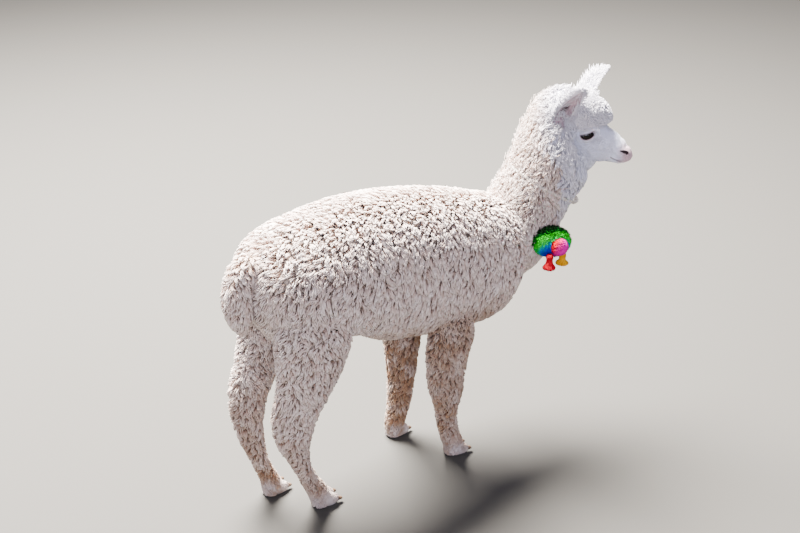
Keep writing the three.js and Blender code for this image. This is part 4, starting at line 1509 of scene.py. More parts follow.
@dataclass
class Coat:
    """The locks of one form: clumps of strands whose roots spread over the skin and whose tips draw together."""

    plan: Locks
    covering: tuple[tuple[Loft, float], ...] = ()

    def __post_init__(self) -> None:
        """Finds the form's loft and starts its own random numbers."""
        self.loft = FORMS[self.plan.form]
        self.tile = TILES.index(self.plan.form)
        self.rng = np.random.default_rng(SEED + sum(map(ord, self.plan.form + self.plan.label + str(self.tile))))

    def depth(self, v: Array, a: Array) -> Array:
        """The coat's depth on this form, in metres."""
        return fleece_depth(self.plan.form, v, a)

    def clumps(self) -> tuple[Array, Array]:
        """Places (v, angle) of the locks: rows across the form, shifted by halves, each place shaken a little."""
        fine = np.linspace(0.004, 0.996, 400)
        angles = np.linspace(0, math.tau, 49)
        v, a = np.meshgrid(fine, angles, indexing="ij")
        skin = self.loft.at(v, a, self.depth(v, a))
        walk = np.linalg.norm(np.diff(skin, axis=0), axis=-1).mean(1)
        length = np.concatenate([[0], np.cumsum(walk)])
        step = self.plan.spacing * MM
        rows = np.arange(step / 2, length[-1], step * ROW_SPACING)
        places = []
        girths = np.linalg.norm(np.diff(skin, axis=1), axis=-1)
        for number, row in enumerate(rows):
            at = np.searchsorted(length, row) - 1
            round_it = np.concatenate([[0], np.cumsum(girths[at])])
            count = max(int(round_it[-1] / step), 3)
            mark = (np.arange(count) + 0.5 * (number % 2) + self.rng.uniform(-SHAKE, SHAKE, count)) / count
            angle = np.interp((mark % 1) * round_it[-1], round_it, angles)
            v_row = np.interp(row + self.rng.uniform(-SHAKE, SHAKE, count) * step, length, fine)
            places.append(np.stack([v_row, angle], -1))
        place = np.vstack(places)
        return place[:, 0], place[:, 1]

    def slopes(self, v: Array, a: Array, inset: Array) -> tuple[Array, Array]:
        """How the surface moves with v and with the angle."""
        step = 1e-3  # of v, and of the angle in radians
        after, before = np.clip(v + step, 0, 1), np.clip(v - step, 0, 1)
        dv = (self.loft.at(after, a, inset) - self.loft.at(before, a, inset)) / (2 * step)
        da = (self.loft.at(v, a + step, inset) - self.loft.at(v, a - step, inset)) / (2 * step)
        return dv, da

    def chart_step(self, v: Array, a: Array, inset: Array, direction: Array) -> tuple[Array, Array]:
        """The (dv, da) that moves a point 1 m along the surface in a direction: least squares on the two slopes."""
        pv, pa = self.slopes(v, a, inset)
        vv, va, aa = (pv * pv).sum(-1), (pv * pa).sum(-1), (pa * pa).sum(-1)
        bv, ba = (pv * direction).sum(-1), (pa * direction).sum(-1)
        det = np.maximum(vv * aa - va * va, 1e-9)
        return (aa * bv - va * ba) / det, (vv * ba - va * bv) / det

    def rooted(self) -> tuple[Array, Array, Array, Array, Array]:
        """The locks that may grow: v, angle, the coat's depth, roots and the skin's normals there."""
        v, a = self.clumps()
        depth = self.depth(v, a)
        roots = self.loft.at(v, a, depth)
        normal = self.loft.normal(v, a, depth)
        keep = np.full(len(v), True)
        for other, inset in self.covering:
            keep &= other.covers(roots, inset) > 1.0
        if self.plan.keep is not None:
            keep &= self.plan.keep(roots, self.rng.random(len(roots)))
        return v[keep], a[keep], depth[keep], roots[keep], normal[keep]

    def grow(self) -> list[Surface]:
        """The strands, as the plan's number of surfaces.

        A strand starts at its root (v, a) on the skin and moves along the chart by length * s^1.15 in the lie's
        direction, bent by a wave crimp * sin(2 pi (waves s + phase)), while its depth under the outline falls as
        (1 - s)^2, so its tip ends at the outline.

        Returns:
            Surfaces of about equal size.
        """
        plan = self.plan
        v, a, depth, roots, normal = self.rooted()
        lie = laid(plan.lie(roots), normal)
        wide, narrow = Ripple(0.075, SEED + self.tile), Ripple(0.028, SEED + 9 + self.tile)
        swirl = wide(roots) * 0.36 + narrow(roots) * 0.24
        lie = turned(lie, normal, swirl + self.rng.normal(0, 0.14, len(v)))
        across = np.cross(normal, lie)
        count = len(v)
        size = self.rng.uniform(0.75, 1.2, count)
        phase = Ripple(0.06, SEED + 5)(roots) * 0.25 + self.rng.uniform(-0.12, 0.12, count)
        wave = plan.waves * self.rng.uniform(0.8, 1.2, count)
        tip_drop = self.rng.uniform(0.0, 1.0, count) ** 2 * 5 * np.minimum(depth / (20 * MM), 1) * MM
        length = plan.length * MM * size

        k = plan.strands
        pick = partial(np.repeat, repeats=k, axis=0)
        total = count * k
        theta = (np.tile(np.arange(k), count) + self.rng.uniform(-0.3, 0.3, total)) * math.tau / k
        reach = plan.spacing * plan.spread * MM * self.rng.uniform(0.6, 1.15, total)
        off_l, off_c = np.cos(theta) * reach, np.sin(theta) * reach
        s = np.linspace(0, 1, plan.rings + 1)[None]
        gather = 1 - plan.gather * smoothstep(0.1, 0.95, s)
        length_k = pick(length) * self.rng.uniform(0.82, 1.08, total)
        wave_k, phase_k = pick(wave), pick(phase) + self.rng.normal(0, 0.03, total)
        swing = np.sin(math.tau * (wave_k[:, None] * s + phase_k[:, None])) - np.sin(math.tau * phase_k)[:, None]
        bend = plan.crimp * MM * swing * smoothstep(0, 0.35, s) * pick(size)[:, None]
        forward = length_k[:, None] * s**1.15 + off_l[:, None] * gather
        sideways = off_c[:, None] * gather + bend
        vk, ak, dk = pick(v), pick(a), pick(depth)
        lie_k, across_k = pick(lie), pick(across)
        fv, fa = self.chart_step(vk, ak, dk * 0.5, lie_k)
        cv, ca = self.chart_step(vk, ak, dk * 0.5, across_k)
        path_v = np.clip(vk[:, None] + fv[:, None] * forward + cv[:, None] * sideways, 0.003, 0.997)
        path_a = ak[:, None] + np.clip(fa[:, None] * forward + ca[:, None] * sideways, -1.3, 1.3)
        lifted = (1 - s) ** 2
        end = pick(tip_drop)[:, None] - plan.over * MM + self.rng.uniform(0, 1.6, total)[:, None] * MM
        end = end + tucked(plan.form, path_v, path_a)
        inset = (dk[:, None] + 1.2 * MM) * lifted + end * (1 - lifted)
        path = self.loft.at(path_v, path_a, inset)
        path[..., 2] = np.maximum(path[..., 2], (0.5 + 0.6 * plan.width) * MM)

        taper = np.interp(s[0], [0, 0.25, 0.6, 0.9, 1.0], [0.75, 1.0, 1.0, 0.75, 0.3])
        slender = 1 - plan.finer * smoothstep(0.5, 0.9, vk)
        half = plan.width * MM / 2 * (pick(size) * slender)[:, None] * taper[None]
        tone = np.clip(0.5 + 0.22 * pick(self.rng.normal(0, 1, count)) + self.rng.normal(0, 0.12, total), 0, 1)
        values = {"tone": tone} | {label: pick(value) for label, value in MARKINGS.values(roots).items()}
        spin = self.rng.uniform(-0.5, 0.5, total)
        chart = chart_place(plan.form, turns(ak), vk)
        right_side_first = pick((roots[:, 1] > 0) * 10.0 + v)
        order = np.argsort(right_side_first, kind="stable")
        return [
            strands(path[part], pick(normal)[part], half[part], spin[part],
                    {label: value[part] for label, value in values.items()}, chart[part])
            for part in np.array_split(order, plan.pieces)
        ]

    def build(self, material: Material) -> list[Piece]:
        """Puts the coat of this form into the scene."""
        form = self.plan.form
        node = "head" if form in HEAD else f"{form}_leg" if form in LEGS else form
        objects = []
        for number, surface in enumerate(self.grow(), 1):
            piece = surface.piece(f"coat_{self.plan.label or form}_{number}")
            objects.append(set_up(piece, material, self.plan.slot, node))
        return objects


def coat_plans() -> list[Coat]:
    """Every form's coat, with the forms that cover its roots."""
    trunk = (BODY["trunk"], 16 * MM)
    neck = (BODY["neck"], 30 * MM)
    legs = tuple((BODY[name], 13 * MM) for name in LEGS)
    coats = [
        Coat(Locks("trunk", 9.0, 3, 4.45, 22, 2.5, steady(-0.42, 0, -1), pieces=6, rings=4),
             legs + (neck, (BODY["tail"], 8 * MM))),
        Coat(Locks("neck", 7.4, 3, 3.3, 21, 1.9, steady(-0.25, 0, -1), pieces=3, keep=clear_of_ears, finer=0.35,
                   rings=4),
             ((BODY["trunk"], 25 * MM), (HEAD["face"], 0.0))),
        Coat(Locks("tail", 8.0, 3, 4.0, 19, 2.2, steady(-0.3, 0, -1)), (trunk,)),
        Coat(Locks("topknot", 3.9, 3, 2.4, 10, 1.1, topknot_lie, pieces=2, keep=crown), ((HEAD["face"], 14 * MM),)),
        Coat(Locks("cheeks", 5.0, 3, 2.4, 11, 1.2, steady(*to_model(np.array([-0.75, 0, -0.75]))), keep=clear_of_ears),
             ((HEAD["face"], 9 * MM), (HEAD["topknot"], 9 * MM), (BODY["neck"], 14 * MM))),
        Coat(Locks("face", 3.8, 3, 2.2, 9.0, 1.1, topknot_lie, over=8.0, keep=temple, label="temple"),
             ((HEAD["topknot"], 12 * MM), (BODY["neck"], 14 * MM))),
        Coat(Locks("face", 2.9, 2, 0.95, 6.5, 0.25, face_lie, rings=3, slot="face_hair", spread=0.5, over=0.0,
                   keep=open_face),
             ((HEAD["topknot"], 9 * MM), (HEAD["cheeks"], 7 * MM), (BODY["neck"], 13 * MM))),
    ]
    for name in LEGS:
        locks = Locks(name, 8.9, 3, 4.5, 16, 2.0, steady(-0.12, 0, -1), rings=4)
        coats.append(Coat(locks, ((BODY["trunk"], 25 * MM),)))
    return coats


def open_face(p: Array, r: Array) -> Array:
    """Whether a root lies on the face's short hair: behind the nose, and clear of lids, folds, nostrils and lips."""
    h = head_mm(p)
    gap = np.hypot((h[:, 0] - EYE_AT[0]) / 20.5, (h[:, 2] - EYE_AT[2] - 2.5) / 11.5)
    left = mirrored(h)
    folds = (groove(left - np.array([2.5, 0, 0]), EYE_CREASE, 4.0) < 0.5) & (groove(left, FACE_FOLD, 1.6) < 0.6)
    folds &= groove(h * MIDPLANE - np.array([2.0, 0, -1.0]), LIP_LINE, 4.0) < 0.35
    folds &= (groove(left, NOSTRIL, 6.0) < 0.35) & (h[:, 0] < 60 + 28 * r)
    return ((gap > 1.0) | (left[:, 1] < 20)) & folds


def brow_line(x: Array) -> Array:
    """How high the lowest curls grow over the eyes and the cheeks, by the place along the face, in mm."""
    return np.interp(x, [-50, -20, 0, 18, 30, 41, 60], [9, 9, 13, 18.5, 27, 35, 41])


def temple(p: Array, r: Array) -> Array:
    """The brow and the temple, where the topknot's curls run down to the eye's upper lid."""
    h = head_mm(p)
    behind = (h[:, 0] < -27) & (h[:, 2] > -4 + 0.9 * (h[:, 0] + 27))
    low = h[:, 2] > brow_line(h[:, 0]) - 3 * r
    return (low | behind) & (h[:, 0] < 34) & clear_of_ears(p, r)


def crown(p: Array, r: Array) -> Array:
    """The topknot, down to the brows and open in front, where it hangs over the bridge."""
    h = head_mm(p)
    return ((h[:, 2] > brow_line(h[:, 0]) - 3 * r) | (np.abs(h[:, 1]) < 24)) & clear_of_ears(p, r)


def clear_of_ears(p: Array, r: Array) -> Array:
    """Whether a root lies clear of the ears and of the room before their hollows, whatever its random share."""
    clear = np.full(len(p), True)
    for ear in EARS:
        local = ear.local_mm(p)
        front = (local[:, 2] > 36) & (local[:, 0] > -8) & (local[:, 0] < 14) & (np.abs(local[:, 1]) < 16)
        back = (local[:, 2] > 4) & (local[:, 0] > -14) & (local[:, 0] < 2) & (np.abs(local[:, 1]) < 22)
        clear &= ~(front | back)
    return clear


@dataclass(frozen=True)
class EarZone:
    """One kind of hair on an ear, its lengths and widths in mm."""

    count: int
    across: tuple[float, float]  # how far from the leaf's middle, as a share of its half-width
    length: tuple[float, float]
    rise: tuple[float, float]
    width: float


EAR_BACK = EarZone(950, (-1.0, 1.0), (10, 17), (0.08, 0.34), 2.0)
EAR_RIM = EarZone(620, (0.84, 1.0), (9, 16), (0.35, 0.9), 1.7)
EAR_HOLLOW = EarZone(150, (0.3, 0.98), (8, 17), (0.0, 0.22), 0.9)


def ear_hair() -> list[Surface]:
    """Each ear's hair: lying up its back, standing out along its rim, and in fine wisps across its hollow."""
    surfaces = []
    for number, ear in enumerate(EARS):
        rng = np.random.default_rng(SEED + 40 + number)
        for zone in (EAR_BACK, EAR_RIM, EAR_HOLLOW):
            count, hollow = zone.count, zone is EAR_HOLLOW
            u = rng.uniform(*zone.across, count) * (1 if zone is EAR_BACK else rng.choice([-1, 1], count))
            v = rng.uniform(0.05, 0.97, count) ** 0.9
            lift = -ear.wall if hollow else 0.0
            root = ear.at_share(u, v, lift + (0.2 if hollow else -0.6))
            out = unit(ear.at_share(u, v, lift + 3.0) - root) * (-1 if hollow else 1)
            lie = unit(ear.at_share(u, np.minimum(v + 0.02, 1), lift) - root)
            shake = rng.normal(0, 0.12, (count, 3))
            if hollow:
                axis = unit(carried(ear.place(), np.tile([[0, MM, 0]], (count, 1))) - ear.place()[:3, 3])
                lie = lie + np.sign(u)[:, None] * -0.35 * axis
                shake = rng.normal(0, 0.1, (count, 3))
            elif zone is EAR_RIM:
                lie = lie + unit(ear.at_share(u + 0.05 * np.sign(u), v, lift) - root) * 0.9
            length = rng.uniform(*zone.length, count) * MM * (1 - 0.55 * smoothstep(0.75, 1.0, v))
            rear = (ear.side is Side.LEFT and not hollow) * smoothstep(-0.1, 0.4, u) * smoothstep(1.0, 0.55, v)
            length = length * (1 + 0.3 * rear)
            rise = rng.uniform(*zone.rise, count) + 0.35 * rear
            chart = chart_place(ear.name, (u + 1) / 2, v)
            surfaces.append(swept_hair(root, out, unit(lie + shake), length, rise, zone.width, 0.9, rng, chart))
    return surfaces


def crest_hair() -> list[Surface]:
    """Wispy hair that stands between the ears, down the nape and at the ears' roots, past the locks' tips."""
    rng = np.random.default_rng(SEED + 60)
    loft = BODY["neck"]
    count = 950
    v = rng.uniform(0.3, 0.93, count)
    a = rng.normal(-math.pi / 2, 0.75, count)
    root = loft.at(v, a, 7 * MM + tucked("neck", v, a))
    out = loft.normal(v, a, 7 * MM)
    up = unit(loft.along(v) * 0.75 + rng.normal(0, 0.3, (count, 3)))
    lie = laid(up, out)
    length = rng.uniform(10, 20, count) * MM
    chart = chart_place("neck", turns(a), v)
    keep = clear_of_ears(root, v) & (HEAD["topknot"].covers(root) > 1)
    rise = rng.uniform(0.3, 0.8, count) * (1 - 0.55 * smoothstep(0.78, 0.92, v))
    nape = swept_hair(root[keep], out[keep], lie[keep], length[keep], rise[keep], 2.0, 1.2, rng, chart[keep])
    loft = HEAD["topknot"]
    v = rng.uniform(0.08, 0.62, count)
    a = rng.normal(math.pi / 2, 0.55, count)
    root = loft.at(v, a, 6 * MM)
    out = loft.normal(v, a, 6 * MM)
    lie = unit(to_model(np.stack([rng.normal(-0.1, 0.4, count), rng.normal(0, 0.4, count), np.full(count, 0.5)], -1)))
    keep = clear_of_ears(root, v)
    chart = chart_place("topknot", turns(a), v)
    length = rng.uniform(8, 14, count) * MM
    rise = rng.uniform(0.3, 0.8, count)
    crest = swept_hair(root[keep], out[keep], lie[keep], length[keep], rise[keep], 1.5, 0.9, rng, chart[keep])
    return [nape, crest, ear_root_fluff(rng), hollow_curls(rng)]


def ear_root_fluff(rng: Rng) -> Surface:
    """Long fluff round the back of each ear's root, which rises along the ear and stands off it."""
    rows, count = [], 520
    for ear in EARS:
        u = rng.uniform(-0.95, 0.95, count)
        v = rng.uniform(0.02, 0.5, count)
        root = ear.at_share(u, v, -0.5)
        out = unit(ear.at_share(u, v, 3.0) - root)
        lie = unit(ear.at_share(u, v + 0.02, -0.5) - root + rng.normal(0, 0.0006, (count, 3)))
        length = rng.uniform(16, 27, count) * (1 - 0.4 * smoothstep(0.2, 0.5, v)) * MM
        chart = chart_place(ear.name, (u + 1) / 2, v)
        rows.append(swept_hair(root, out, lie, length, rng.uniform(0.3, 0.7, count), 2.2, 1.5, rng, chart, 5))
    return joined(rows)


def hollow_curls(rng: Rng) -> Surface:
    """White curls at the foot of each ear's hollow and along its front rim, lying up and back across its lower part."""
    rows, count = [], 430
    for ear, front in zip(EARS, (1, -1)):
        rim = rng.random(count) < 0.45
        u = front * np.where(rim, rng.uniform(0.7, 1.0, count), rng.uniform(-0.85, 1.0, count))
        v = np.where(rim, rng.uniform(0.02, 0.58, count), rng.uniform(0.0, 0.26, count))
        root = ear.at_share(u, v, -0.8)
        along = unit(ear.at_share(u, v + 0.02, -0.8) - root)
        middle = unit(ear.at_share(0 * u, v, -6.0) - root)
        out = np.tile(unit(ear.place()[:3, 0]), (count, 1))
        lie = unit(along * 0.9 + middle * np.where(rim, 0.75, 0.2)[:, None] + rng.normal(0, 0.22, (count, 3)))
        length = rng.uniform(9, 16, count) * (1 - 0.45 * smoothstep(0.35, 0.62, v)) * MM
        chart = chart_place(ear.name, (u + 1) / 2, v)
        rows.append(swept_hair(root, out, lie, length, rng.uniform(0.15, 0.6, count), 2.1, 2.0, rng, chart, 5))
    return joined(rows)


def foot_hair(skin: Piece) -> Surface:
    """Short hair over the toes and the pasterns, which lies down them; none on the pads and the nails."""
    rng = np.random.default_rng(SEED + 95)
    points, normals = points_and_normals(skin.data)
    area = (points[:, 2] > 5 * MM) & (points[:, 2] < 66 * MM) & (normals[:, 2] > -0.35)
    rows = []
    for foot in FEET:
        loft = BODY[foot.name]
        at = (np.array(foot.at) - MIDDLE[:2]) * MM
        chosen = np.flatnonzero(area & (np.hypot(points[:, 0] - at[0], points[:, 1] - at[1]) < 75 * MM))
        chosen = rng.choice(chosen, 620)
        root, out = points[chosen], normals[chosen]
        slide = rng.normal(0, 1.8 * MM, root.shape)
        root = root + slide - out * (slide * out).sum(-1, keepdims=True)
        for which in (-1, 1):
            clear = foot.nail_form(which).covers(root, -1 * MM) > 1.0
            root, out = root[clear], out[clear]
        count = len(root)
        lie = np.array([0.35, 0.0, -0.94]) + rng.normal(0, 0.16, (count, 3))
        lie = laid(lie, out)
        length = np.interp(root[:, 2], [0.006, 0.03, 0.066], [5.5, 8.5, 11.0]) * rng.uniform(0.75, 1.25, count) * MM
        fine = np.linspace(0, 1, 60)
        middle = carried(loft.place, loft.rings(fine).centre)
        angle = np.arctan2(root[:, 1] - at[1], root[:, 0] - at[0])
        share = np.interp(-root[:, 2], -middle[:, 2], fine)
        chart = chart_place(foot.name, turns(angle), share)
        root, rise = root - out * 0.4 * MM, rng.uniform(0.02, 0.12, count)
        rows.append(swept_hair(root, out, lie, length, rise, 1.35, 0.6, rng, chart, 3))
    hair = joined(rows)
    hair.points[:, 2] = np.maximum(hair.points[:, 2], 0.5 * MM)
    return hair


def lid_hair() -> Surface:
    """The finest hair, over the lids and up to the eye's rim."""
    rng = np.random.default_rng(SEED + 75)
    lids = Lids()
    count = 900
    rows = []
    for sign in (-1, 1):
        angle = rng.uniform(0, math.tau, count)
        away = 2.6 + 11.0 * rng.random(count) ** 0.8
        x, z, nx, nz = lids.edge(angle)
        x, z = x + nx * away, z + nz * away
        lift = np.interp(away, [0, 4, 13], [2.2, 2.3, 0.2])
        steps = ((0, 0), (-0.5, 0), (0.5, 0), (0, -0.5), (0, 0.5))
        y, behind, before, below, above = (lids.height(x + dx, z + dz, lift, -0.8) - 1.9 for dx, dz in steps)
        out = unit(np.stack([behind - before, np.ones(count), below - above], -1))
        lie = np.tile([-0.85, 0.0, -0.1], (count, 1)) + np.stack([nx, 0 * nx, nz], -1) * 0.5
        lie = laid(lie, out)
        side = np.array([1, sign, 1])
        root = carried(HEAD_FRAME, np.stack([x, y, z], -1) * side * MM)
        chart = chart_place("lids", angle / math.tau, away / 14)
        length, rise = rng.uniform(3.5, 5.5, count) * MM, rng.uniform(0.02, 0.12, count)
        rows.append(swept_hair(root, to_model(out * side), to_model(lie * side), length, rise, 0.8, 0.2, rng, chart, 3))
    return joined(rows)


def lashes() -> Surface:
    """Pale lashes along the upper lids, pointing out and a little down."""
    rng = np.random.default_rng(SEED + 70)
    lids = Lids()
    count = 16
    rows = []
    for sign in (-1, 1):
        angle = np.sort(rng.uniform(0.25, 2.7, count))
        x, z, _, _ = lids.edge(angle)
        y = (lids.height(x, z, 1.6, -2.5) - 1.7) * sign
        root = carried(HEAD_FRAME, np.stack([x, y, z], -1) * MM)
        out = np.tile(to_model(np.array([0.1, sign, 0.0])), (count, 1))
        ones = np.ones(count)
        lie = to_model(unit(np.stack([0.25 + 0.3 * np.cos(angle), sign * 0.8 * ones, -0.45 * ones], -1)))
        chart = chart_place("lids", (0.25 + sign * 0.2) * ones, angle / 3)
        rows.append(swept_hair(root, out, lie, rng.uniform(3, 5.5, count) * MM, 0.1 * ones, 0.4, 0.3, rng, chart, 3))
    return joined(rows)


# ---- what it wears


@dataclass(frozen=True)
class Pompom:
    """A yarn pompom on the chest with a bright core in its face and two tassels, sizes in mm."""

    at: tuple[float, float, float] = (667, -121, 538.5)
    turn: float = -32
    size: tuple[float, float, float] = (53, 34, 43)
    core_at: tuple[float, float, float] = (15, -24, -4)
    core: float = 23.5
    profile: tuple = ((0, 5), (0.12, 8.5), (0.3, 7.5), (0.62, 9.5), (0.92, 18), (1, 17))
    strand: float = 2.6

    def place(self) -> Array:
        """The ornament's frame in metres, its face towards -Y."""
        x, y, z = (np.array(self.at) - MIDDLE) * MM
        return shift(x, y, z) @ rotation("Z", math.radians(self.turn)) @ np.diag([MM, MM, MM, 1])

    def pile(self, centre: Row, size: Row, count: int, droop: float, seed: int,
             band: Callable[[Array], Array], keep: Callable[[Array], Array]) -> Surface:
        """Cut yarn over an ellipsoid: each strand goes from 0.62 of the way out to the surface, and bends down.

        Args:
            centre: the ellipsoid's centre.
            size: its half sizes.
            count: strands.
            droop: how far a strand's tip hangs below its root's direction, as a share of the size.
            seed: for the strands' differences.
            band: the dye's place in 0..1 for a unit direction.
            keep: whether a tip in the ornament's frame is kept.

        Returns:
            The strands.
        """
        rng = np.random.default_rng(SEED + seed)
        number = np.arange(count) + 0.5
        height = 1 - 2 * number / count
        turn = number * math.pi * (3 - math.sqrt(5))
        ring = np.sqrt(1 - height**2)
        way = np.stack([ring * np.cos(turn), ring * np.sin(turn), height], -1)
        way = unit(way + rng.normal(0, 0.05, way.shape))
        fall = unit(way + np.array([0, 0, -1.0]) * droop * (1 - 0.6 * np.abs(way[:, 2:3])))
        reach = np.array(size)
        s = np.linspace(0, 1, 5)[None, :, None]
        mix = unit(way[:, None] * (1 - s) + fall[:, None] * s)
        out = 0.6 + (0.4 + rng.uniform(-0.07, 0.0, (count, 1, 1))) * s
        path = np.array(centre) + mix * reach * out
        good = keep(path[:, -1])
        path, way = path[good], way[good]
        total = len(path)
        # A random tone per strand, lighter on strands that point up and darker on those that point down: painted light
        # from above.
        shade = np.clip(rng.normal(0.65, 0.22, total) + 0.15 * way[:, 2], 0, 1)
        half = np.full((total, 5), self.strand / 2) * np.array([0.8, 1.0, 1.05, 1.0, 0.9])
        values = {"tone": shade, "band": np.clip(band(way) + rng.normal(0, 0.035, total), 0, 1)}
        chart = chart_place("pompom", turns(turn[good]), (height[good] + 1) / 2)
        hair = strands(path, way, half, rng.uniform(-1, 1, total), values, chart)
        return hair.moved(self.place())

    def cap(self) -> Piece:
        """The pompom: dark green at its crown, then bright green, blue, and purple at the hem."""
        core = np.array(self.core_at)
        clear = lambda tip: np.linalg.norm(tip - core, axis=-1) > self.core * 0.98
        axis = unit(np.array([0.2, -0.84, -0.5]))

        def band(way: Array) -> Array:
            """The dye's place: the angle from the core's side of the ornament, less at the hem on one side."""
            hem = smoothstep(-0.3, -0.65, way[:, 2]) * smoothstep(0.0, 0.45, way[:, 0])
            return np.degrees(np.arccos(np.clip(way @ axis, -1, 1))) / 116 - 0.38 * hem

        pile = self.pile((0, 0, 0), self.size, 3000, 0.42, 1, band, clear)
        inner = ellipsoid((0, 0, 0), np.array(self.size) * 0.66, 32)
        # The solid middle's low tone darkens it: painted shade deep among the strands.
        inner = inner.filled(tone=0.2, along=0.0)
        inner.values["band"] = band(unit(inner.points))
        stops = ((0.0, "d000b0"), (0.12, "7a00d8"), (0.24, "1800b8"), (0.38, "0038f0"), (0.47, "0090f0"),
                 (0.53, "00d890"), (0.6, "10f040"), (0.72, "00d020"), (0.8, "006a10"), (0.88, "022a08"),
                 (1.0, "011604"))
        piece = joined([pile, inner.moved(self.place())]).piece("pompom_yarn")
        return set_up(piece, Yarn("yarn_green_to_blue", stops).material(), "yarn_green", "pompom")

    def heart(self) -> Piece:
        """The core in the pompom's face: magenta, and red towards its upper left."""
        size = (self.core,) * 3
        band = lambda way: np.clip(0.85 + 0.7 * way[:, 0] - 0.3 * way[:, 2] - 0.2 * (1 + way[:, 1]), 0, 1)
        pile = self.pile(self.core_at, size, 1500, 0.1, 2, band, lambda tip: tip[:, 1] < self.core_at[1] + 8)
        inner = ellipsoid(self.core_at, np.array(size) * 0.68, 24)
        # The solid middle's low tone darkens it: painted shade deep among the strands.
        inner = inner.filled(tone=0.3, band=0.5, along=0.0)
        stops = ((0.0, "e00010"), (0.3, "ff0038"), (0.5, "ff0098"), (1.0, "ff00c8"))
        piece = joined([pile, inner.moved(self.place())]).piece("pompom_core_yarn")
        return set_up(piece, Yarn("yarn_magenta", stops).material(), "yarn_magenta", "pompom_core")

    def tassel(self, colour: str, at: Row, length: float, stops: tuple) -> Piece:
        """A tassel: strands from a bound top that flare at the hem, round a solid middle."""
        rng = np.random.default_rng(SEED + int(length))
        count = 420
        turn = rng.uniform(0, math.tau, count)
        depth = np.sqrt(rng.uniform(0.45, 1.0, count))
        share = np.linspace(0.02, 1.0, 9)
        shares, radii = np.array(self.profile).T
        radius = np.interp(share, shares, radii)[None] * depth[:, None]
        radius = radius - 1.0 * (depth[:, None] > 0.9)
        swing = turn[:, None] + rng.normal(0, 0.12, (count, 1)) * share[None]
        curl = np.maximum(share - 0.9, 0)[None] * 18 * depth[:, None] ** 2
        drop = -share[None] * (length - rng.uniform(0, 2.5, (count, 1))) + curl
        path = np.array(at) + np.stack([radius * np.cos(swing), radius * np.sin(swing), drop], -1)
        way = np.stack([np.cos(turn), np.sin(turn), 0 * turn], -1)
        half = np.full((count, 9), 0.95)
        values = {"tone": np.clip(rng.normal(0.6, 0.25, count), 0, 1), "band": rng.uniform(0.2, 1.0, count)}
        chart = chart_place(f"tassel_{colour}", turn / math.tau, depth)
        hair = strands(path, way, half, rng.uniform(-1, 1, count), values, chart)
        middle = tube(np.array(at) + np.outer(-share * (length - 4), [0, 0, 1]), radius.min(0) * 0.95, 16)
        # The middle's low tone darkens it: painted shade inside the tassel.
        middle = middle.filled(tone=0.3, band=0.5, along=0.0)
        wrap = self.binding(at, length)
        piece = joined([hair, middle, wrap]).moved(self.place()).piece(f"tassel_{colour}_yarn")
        return set_up(piece, Yarn(f"yarn_{colour}", stops).material(), f"yarn_{colour}", f"tassel_{colour}")

    def binding(self, at: Row, length: float) -> Surface:
        """Turns of yarn round the tassel's neck: a coil of radius 8.2 mm that drops 1.6 mm a turn."""
        turn = np.linspace(0, 5 * math.tau, 90)
        path = np.stack([8.2 * np.cos(turn), 8.2 * np.sin(turn), -0.2 * length - turn / math.tau * 1.6 + 4], -1)
        return tube(np.array(at) + path, 0.9, 6).filled(tone=0.5, band=0.4, along=0.0)

    def build(self) -> None:
        """Puts the whole ornament into the scene."""
        self.cap()
        self.heart()
        self.tassel("red", (-8, -31, -20), 42, ((0.0, "a80018"), (0.6, "e00028"), (1.0, "f01038")))
        self.tassel("yellow", (24, -27, -20), 31, ((0.0, "d08a00"), (0.6, "f8b000"), (1.0, "ffc810")))


